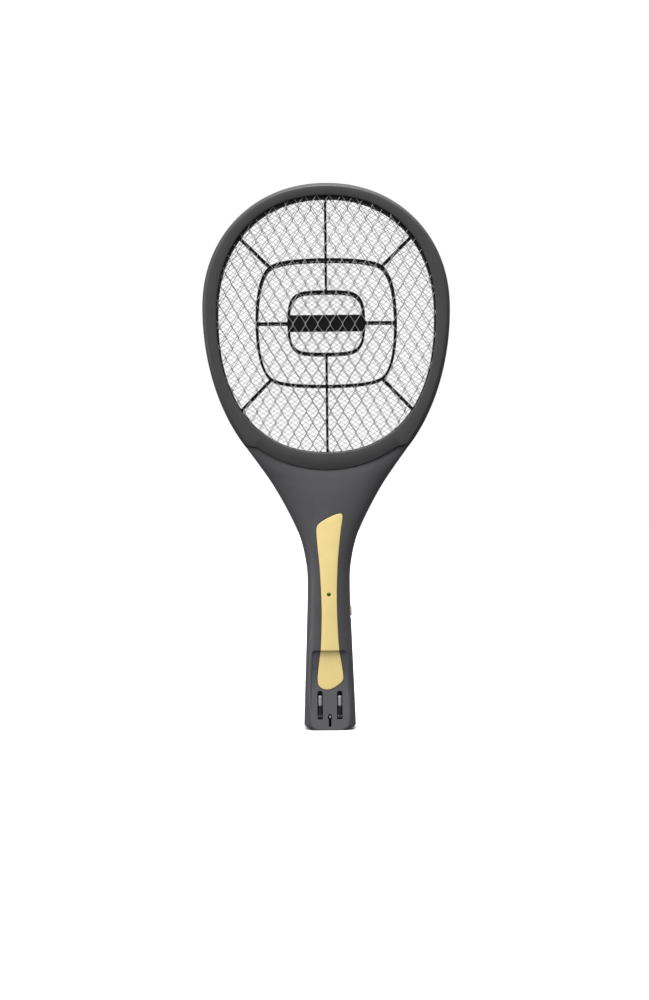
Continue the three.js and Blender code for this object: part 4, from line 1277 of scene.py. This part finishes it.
class Nodes:
    """A material's node tree, built a node at a time."""

    def __init__(self, name):
        self.material = bpy.data.materials.new(name)
        self.material.use_nodes = True
        self.tree = self.material.node_tree
        self.shader = self.tree.nodes["Principled BSDF"]
        self.coordinates = self.tree.nodes.new("ShaderNodeTexCoord")

    def add(self, kind, inputs=None, **settings):
        node = self.tree.nodes.new("ShaderNode" + kind)
        for key, value in settings.items():
            setattr(node, key, value)
        for key, value in (inputs or {}).items():
            if isinstance(value, bpy.types.NodeSocket):
                self.tree.links.new(value, node.inputs[key])
            else:
                node.inputs[key].default_value = value
        return node

    def math(self, operation, a, b, c=None):
        inputs = {0: a, 1: b}
        if c is not None:
            inputs[2] = c
        return self.add("Math", inputs, operation=operation).outputs[0]

    def all_of(self, *masks):
        """1 where every mask is 1."""
        product = masks[0]
        for mask in masks[1:]:
            product = self.math("MULTIPLY", product, mask)
        return product

    def stretched(self, scale):
        return self.add("Mapping", {
            "Vector": self.coordinates.outputs["Object"], "Scale": scale,
        }).outputs["Vector"]

    def noise(self, size_mm, detail=2.0, scale=(1, 1, 1), roughness=0.55):
        """Noise whose features are about size_mm across."""
        return self.add("TexNoise", {
            "Vector": self.stretched(scale), "Scale": 1000 / size_mm, "Detail": detail,
            "Roughness": roughness,
        }).outputs["Fac"]

    def ranged(self, value, low, high, start=0.3, end=0.7):
        return self.add("MapRange", {
            "Value": value, "From Min": start, "From Max": end, "To Min": low, "To Max": high,
        }).outputs["Result"]

    def mixed(self, factor, a, b):
        return self.add("Mix", {0: factor, 6: a, 7: b}, data_type="RGBA").outputs[2]

    def bump(self, height, depth_mm, strength=1.0, under=None):
        inputs = {"Height": height, "Distance": mm(depth_mm), "Strength": strength}
        if under is not None:
            inputs["Normal"] = under
        return self.add("Bump", inputs).outputs["Normal"]

    def finish(self, **sockets):
        for key, value in sockets.items():
            socket = self.shader.inputs[key.replace("_", " ")]
            if isinstance(value, bpy.types.NodeSocket):
                self.tree.links.new(value, socket)
            else:
                socket.default_value = value
        return self.material


def shift(colour, share):
    return tuple(min(1.0, part * share) for part in colour[:3]) + (1.0,)


def grained(n, base, roughness, grain_mm=0.28, grain_depth=0.006, sheen_spread=0.08):
    """A base colour under fine spark-eroded grain, slow waves and uneven sheen."""
    grain = n.bump(n.noise(grain_mm, 2), grain_depth, 0.6)
    waves = n.bump(n.noise(22, 1), 0.03, 0.35, grain)
    rough = n.ranged(n.noise(9, 4), roughness - sheen_spread, roughness + sheen_spread)
    return n.finish(Base_Color=base, Roughness=rough, Normal=waves)


def moulded(name, colour, roughness, grain_mm=0.28, grain_depth=0.006):
    """Moulded plastic with faint flow clouds."""
    n = Nodes(name)
    base = n.mixed(n.ranged(n.noise(38, 3), 0, 1), shift(colour, 0.93), shift(colour, 1.07))
    return grained(n, base, roughness, grain_mm, grain_depth)


def shell_plastic(colour):
    """The handle's plastic.

    Its recess floor is painted lighter at the foot, which is painted light. It fades into the shell's
    colour towards the step, which is a painted shadow under the step.
    The insides of the pin slots are painted nearly black, which is painted shade.
    """
    n = Nodes("handle_plastic")
    split = n.add("SeparateXYZ", {"Vector": n.coordinates.outputs["Object"]})
    x, y, z = (split.outputs[axis] for axis in "XYZ")
    # Painted light and painted shadow: the recess floor is painted lighter at the foot and fades back to
    # the shell's colour towards the step, where the step's shadow falls.
    recess_painted_light_and_shadow = n.all_of(
        n.math("COMPARE", y, mm(PANEL_Y), mm(0.2)),
        n.math("LESS_THAN", z, mm(PANEL_TOP_Z)),
        n.ranged(z, 1, -0.6, mm(38), mm(70)),
    )
    # Painted shade: the insides of the pin slots are painted nearly black, where shade falls.
    painted_slot_shade = n.all_of(
        n.math("GREATER_THAN", y, mm(PANEL_Y + 0.4)),
        n.math("LESS_THAN", y, mm(SLOT_FLOOR_Y + 2.6)),
        n.math("LESS_THAN", z, mm(SLOT_TOP_Z + 4.5)),
        n.math("LESS_THAN", n.math("ABSOLUTE", x, 0), mm(PIN_X + 4)),
    )
    clouds = n.ranged(n.noise(38, 3), 0, 1)
    outside = n.mixed(clouds, shift(colour, 0.94), shift(colour, 1.06))
    # Painted light: the shell's colour made lighter for the recess floor.
    painted_light_floor_colour = n.mixed(clouds, shift(colour, 1.6), shift(colour, 1.72))
    visible = n.mixed(recess_painted_light_and_shadow, outside, painted_light_floor_colour)
    # The slot insides take the painted shade, a near-black copy of the shell's colour.
    return grained(n, n.mixed(painted_slot_shade, visible, shift(colour, 0.12)), 0.42)


def coated(material, weight, roughness):
    """The same material under a clear coat."""
    sockets = material.node_tree.nodes["Principled BSDF"].inputs
    sockets["Coat Weight"].default_value = weight
    sockets["Coat Roughness"].default_value = roughness
    return material


def gloss_plastic(name, colour, roughness=0.22):
    """Smooth plastic with slight waves and hairline scuffs."""
    n = Nodes(name)
    base = n.mixed(n.ranged(n.noise(26, 2), 0, 1), shift(colour, 0.97), shift(colour, 1.03))
    scuffs = n.noise(1.1, 3, (1, 1, 0.08))
    rough = n.ranged(scuffs, roughness - 0.05, roughness + 0.1, 0.35, 0.75)
    waves = n.bump(n.noise(14, 1), 0.02, 0.4)
    fine = n.bump(scuffs, 0.0015, 0.5, waves)
    material = n.finish(Base_Color=base, Roughness=rough, Normal=fine)
    return coated(material, 0.12, 0.12)


def metal(name, colour, roughness, scale=(1, 1, 1), streak_mm=0.25, tarnish=0.12, metallic=1.0):
    """Bare metal with drawn or turned streaks and a little tarnish."""
    n = Nodes(name)
    patches = n.ranged(n.noise(5, 4), 0, 1, 0.35, 0.65)
    base = n.mixed(patches, shift(colour, 1 - tarnish), colour)
    streaks = n.noise(streak_mm, 3, scale)
    rough = n.ranged(streaks, roughness - 0.07, roughness + 0.12)
    normal = n.bump(streaks, 0.002, 0.5)
    return n.finish(Base_Color=base, Roughness=rough, Normal=normal, Metallic=metallic)


def dull(material, level):
    """The same material with a weaker mirror reflection."""
    material.node_tree.nodes["Principled BSDF"].inputs["Specular IOR Level"].default_value = level
    return material


def lamp_lens_material():
    n = Nodes("green_lens")
    base = n.mixed(n.ranged(n.noise(0.8, 2), 0, 1), linear(10, 76, 2), linear(24, 104, 5))
    material = n.finish(Base_Color=base, Roughness=n.ranged(n.noise(1.5, 2), 0.08, 0.2))
    return coated(material, 0.2, 0.1)


def board_material():
    """Green solder mask over faint tracks, with the glass weave under it."""
    n = Nodes("circuit_board")
    tracks = n.add("TexWave", {
        "Vector": n.stretched((1, 1, 1)), "Scale": 260.0, "Distortion": 6.0, "Detail": 1.0,
    }).outputs["Fac"]
    step = n.ranged(tracks, 0, 1, 0.48, 0.52)
    base = n.mixed(step, linear(24, 74, 38), linear(40, 104, 52))
    weave = n.noise(0.6, 1, (1, 1, 1))
    normal = n.bump(step, 0.03, 0.6, n.bump(weave, 0.004, 0.4))
    return n.finish(Base_Color=base, Roughness=n.ranged(weave, 0.3, 0.45), Normal=normal)


def winding_material():
    """Enamelled wire laid in turns side by side."""
    n = Nodes("copper_winding")
    turns = n.add("TexWave", {
        "Vector": n.coordinates.outputs["Object"], "Scale": 900.0, "Distortion": 0.4,
    }, bands_direction="X").outputs["Fac"]
    base = n.mixed(turns, linear(120, 62, 26), linear(196, 118, 58))
    return n.finish(
        Base_Color=base, Roughness=n.ranged(turns, 0.25, 0.4, 0, 1), Metallic=0.6,
        Normal=n.bump(turns, 0.05, 0.8),
    )


def wrap_material():
    """Shrink-wrapped cell jacket with a darker band at its upper end."""
    n = Nodes("battery_wrap")
    split = n.add("SeparateXYZ", {"Vector": n.coordinates.outputs["Object"]}).outputs["Z"]
    band_at = n.ranged(split, 0, 1, mm(58), mm(58.4))
    base = n.mixed(band_at, linear(58, 110, 76), linear(34, 40, 40))
    creases = n.noise(3, 3, (1, 1, 0.2))
    return n.finish(
        Base_Color=base, Roughness=n.ranged(creases, 0.25, 0.4), Normal=n.bump(creases, 0.02, 0.4),
    )


def make_materials():
    return {
        "head_ring": moulded("ring_plastic", linear(66, 66, 67), 0.46),
        "handle_shell": shell_plastic(linear(79, 79, 82)),
        "black_frame": dull(moulded("frame_plastic", linear(9, 9, 10), 0.55, 0.3, 0.004), 0.2),
        "yellow_inlay": gloss_plastic("yellow_plastic", linear(252, 228, 155)),
        "grid_wire": metal("drawn_wire", linear(202, 202, 204), 0.4, (1, 1, 0.3)),
        "pin_metal": metal("nickel_pin", linear(186, 186, 188), 0.55, (1, 1, 6), 0.5, metallic=0.55),
        "screw_steel": metal("zinc_screw", linear(180, 182, 188), 0.34),
        "plug_plastic": dull(moulded("plug_plastic", linear(40, 40, 42), 0.5), 0.3),
        "contact_brass": metal("contact_brass", linear(206, 170, 86), 0.3, (6, 1, 1), 0.6, 0.2),
        "board": board_material(),
        "ferrite": moulded("ferrite", linear(44, 44, 48), 0.7, 0.5, 0.02),
        "copper_winding": winding_material(),
        "capacitor_film": gloss_plastic("capacitor_film", linear(140, 50, 36), 0.3),
        "component_black": moulded("component_epoxy", linear(30, 30, 32), 0.55),
        "lamp_lens": lamp_lens_material(),
        "battery_wrap": wrap_material(),
        "lead_insulation": gloss_plastic("lead_sleeve", linear(160, 34, 32), 0.4),
    }


MATERIALS = make_materials()


# ------------------------------------------------------------------ assembly

def place(piece, slot, body, *nodes, finish=None):
    """Gives a piece its finish, its body and the CAD nodes that it stands for."""
    piece.data.materials.clear()
    piece.data.materials.append(finish or MATERIALS[slot])
    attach(piece, body)
    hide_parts(*nodes)


CASING, PLUG, BUTTON = "casing", "plug", "button"


def build_head():
    for name, side in (("front", -1), ("rear", 1)):
        place(bezel(f"{name}_ring_moulding", side), "head_ring", CASING, f"{name}_ring")
        place(support_frame(f"{name}_rib_frame", side), "black_frame", CASING, f"{name}_support_frame")
        y = side * GRID_DEPTH
        grid = wire_grid(f"{name}_wire_grid", diamond_strands(y), OUTER_WIRE, y, TAB_X, 8)
        place(grid, "grid_wire", CASING, f"{name}_grid")
    fine = wire_grid("middle_wire_grid", straight_wires(), MIDDLE_WIRE, 0, -TAB_X, 6)
    place(fine, "grid_wire", CASING, "middle_grid")


def build_handle():
    place(front_shell(), "handle_shell", CASING, "front_shell")
    place(rear_shell(), "handle_shell", CASING, "rear_shell")
    place(inlay_piece(), "yellow_inlay", CASING, "inlay_strip")
    place(lamp_piece(), "lamp_lens", CASING, "indicator_led")
    # Painted light: the button's yellow is painted lighter than the inlay's. It stands in for light that
    # the button's side barely gets.
    painted_light_yellow = gloss_plastic("button_plastic_painted_light", linear(255, 246, 200))
    place(button_piece(), "yellow_inlay", BUTTON, "push_button", finish=painted_light_yellow)


def build_screws():
    for i, corners in enumerate(RING_SCREWS, 1):
        place(screw_piece(f"ring_screw_cross_{i}", corners), "screw_steel", CASING, f"ring_screw_{i}")
    for i, corners in enumerate(HANDLE_SCREWS, 1):
        piece = screw_piece(f"handle_screw_cross_{i}", corners)
        place(piece, "screw_steel", CASING, f"handle_screw_{i}")


def build_plug():
    for name, way in (("left", -1), ("right", 1)):
        place(plug_arm(f"plug_sleeve_{name}", way * PIN_X), "plug_plastic", PLUG, f"plug_arm_{name}")
        place(plug_pin(f"mains_pin_{name}", way * PIN_X), "pin_metal", PLUG, f"plug_pin_{name}")
    place(plug_axle("plug_pivot_axle"), "component_black", PLUG, "plug_axle")
    place(axle_collar("plug_axle_collar"), "pin_metal", PLUG, "plug_axle")


def finish_carried_nodes():
    """CAD nodes that stay as they are get the finish their slot names."""
    for part in frame["record"]["subparts"]:
        mesh = frame["nodes"][part["node"]].data
        mesh.materials.clear()
        mesh.materials.append(MATERIALS[part["material_slot"]])


build_head()
build_handle()
build_screws()
build_plug()
finish_carried_nodes()


# ----------------------------------------------------- floor, light, camera

def floor():
    """Plain paper that takes shadows and throws no light back up."""
    mesh = bpy.data.meshes.new("studio_floor")
    reach = 8.0
    corners = [(-reach, -reach, 0), (reach, -reach, 0), (reach, reach, 0), (-reach, reach, 0)]
    mesh.from_pydata(corners, [], [[0, 1, 2, 3]])
    obj = bpy.data.objects.new("studio_floor", mesh)
    SCENE.collection.objects.link(obj)
    n = Nodes("studio_paper")
    base = n.mixed(n.ranged(n.noise(400, 2), 0, 1), linear(247, 247, 247), linear(250, 250, 250))
    obj.data.materials.append(n.finish(Base_Color=base, Roughness=0.9))
    obj.visible_diffuse = False
    obj.visible_glossy = False


# Name, heading from the front towards +X, height, strength, spread.
SUNS = [
    ("front_high", -4, 72, 3.7, 36),
    ("front_left", -50, 32, 0.85, 40),
    ("left_low", -78, 10, 0.6, 30),
    ("front_level", 0, 35, 0.3, 40),
    ("rear_left", -150, 42, 1.2, 40),
    ("rear_right", 145, 50, 1.2, 40),
]


def sun_light(name, heading, height, strength, spread):
    """A distant light; its heading, height and spread are in degrees."""
    light = bpy.data.lights.new(name, "SUN")
    light.energy = strength
    light.angle = math.radians(spread)
    obj = bpy.data.objects.new(name, light)
    SCENE.collection.objects.link(obj)
    turn, rise = math.radians(heading), math.radians(height)
    source = Vector((math.sin(turn) * math.cos(rise), -math.cos(turn) * math.cos(rise), math.sin(rise)))
    obj.rotation_euler = (-source).to_track_quat("-Z", "Y").to_euler()


def studio():
    """Soft light from high in front and from the left, with a softer pair behind."""
    for sun in SUNS:
        sun_light(*sun)
    world = bpy.data.worlds.new("studio_white")
    world.use_nodes = True
    tree = world.node_tree
    shade_in = tree.nodes["Background"]
    shade_in.inputs["Color"].default_value = (1, 1, 1, 1)
    shade_in.inputs["Strength"].default_value = 0.22
    seen = tree.nodes.new("ShaderNodeBackground")
    seen.inputs["Color"].default_value = (1, 1, 1, 1)
    seen.inputs["Strength"].default_value = 1.0
    path = tree.nodes.new("ShaderNodeLightPath")
    mix = tree.nodes.new("ShaderNodeMixShader")
    output = tree.nodes["World Output"]
    tree.links.new(path.outputs["Is Camera Ray"], mix.inputs["Fac"])
    tree.links.new(shade_in.outputs["Background"], mix.inputs[1])
    tree.links.new(seen.outputs["Background"], mix.inputs[2])
    tree.links.new(mix.outputs["Shader"], output.inputs["Surface"])
    SCENE.world = world
    SCENE.view_settings.view_transform = "Standard"


def camera():
    """Looks level at the bat's front, turned a touch about the view line."""
    distance, frame_height, sensor = 1.25, 0.9577, 36.0
    across, up, turned_by = -0.0033, 0.2181, 0.556
    data = bpy.data.cameras.new("photo_view")
    data.sensor_fit = "VERTICAL"
    data.sensor_height = sensor
    data.lens = sensor * distance / frame_height
    data.clip_start, data.clip_end = 0.05, 50
    obj = bpy.data.objects.new("photo_view", data)
    SCENE.collection.objects.link(obj)
    lean = Matrix.Rotation(math.radians(turned_by), 4, "Y")
    level = Matrix.Rotation(math.pi / 2, 4, "X")
    obj.matrix_world = Matrix.Translation((across, -distance, up)) @ lean @ level
    SCENE.camera = obj


floor()
studio()
camera()
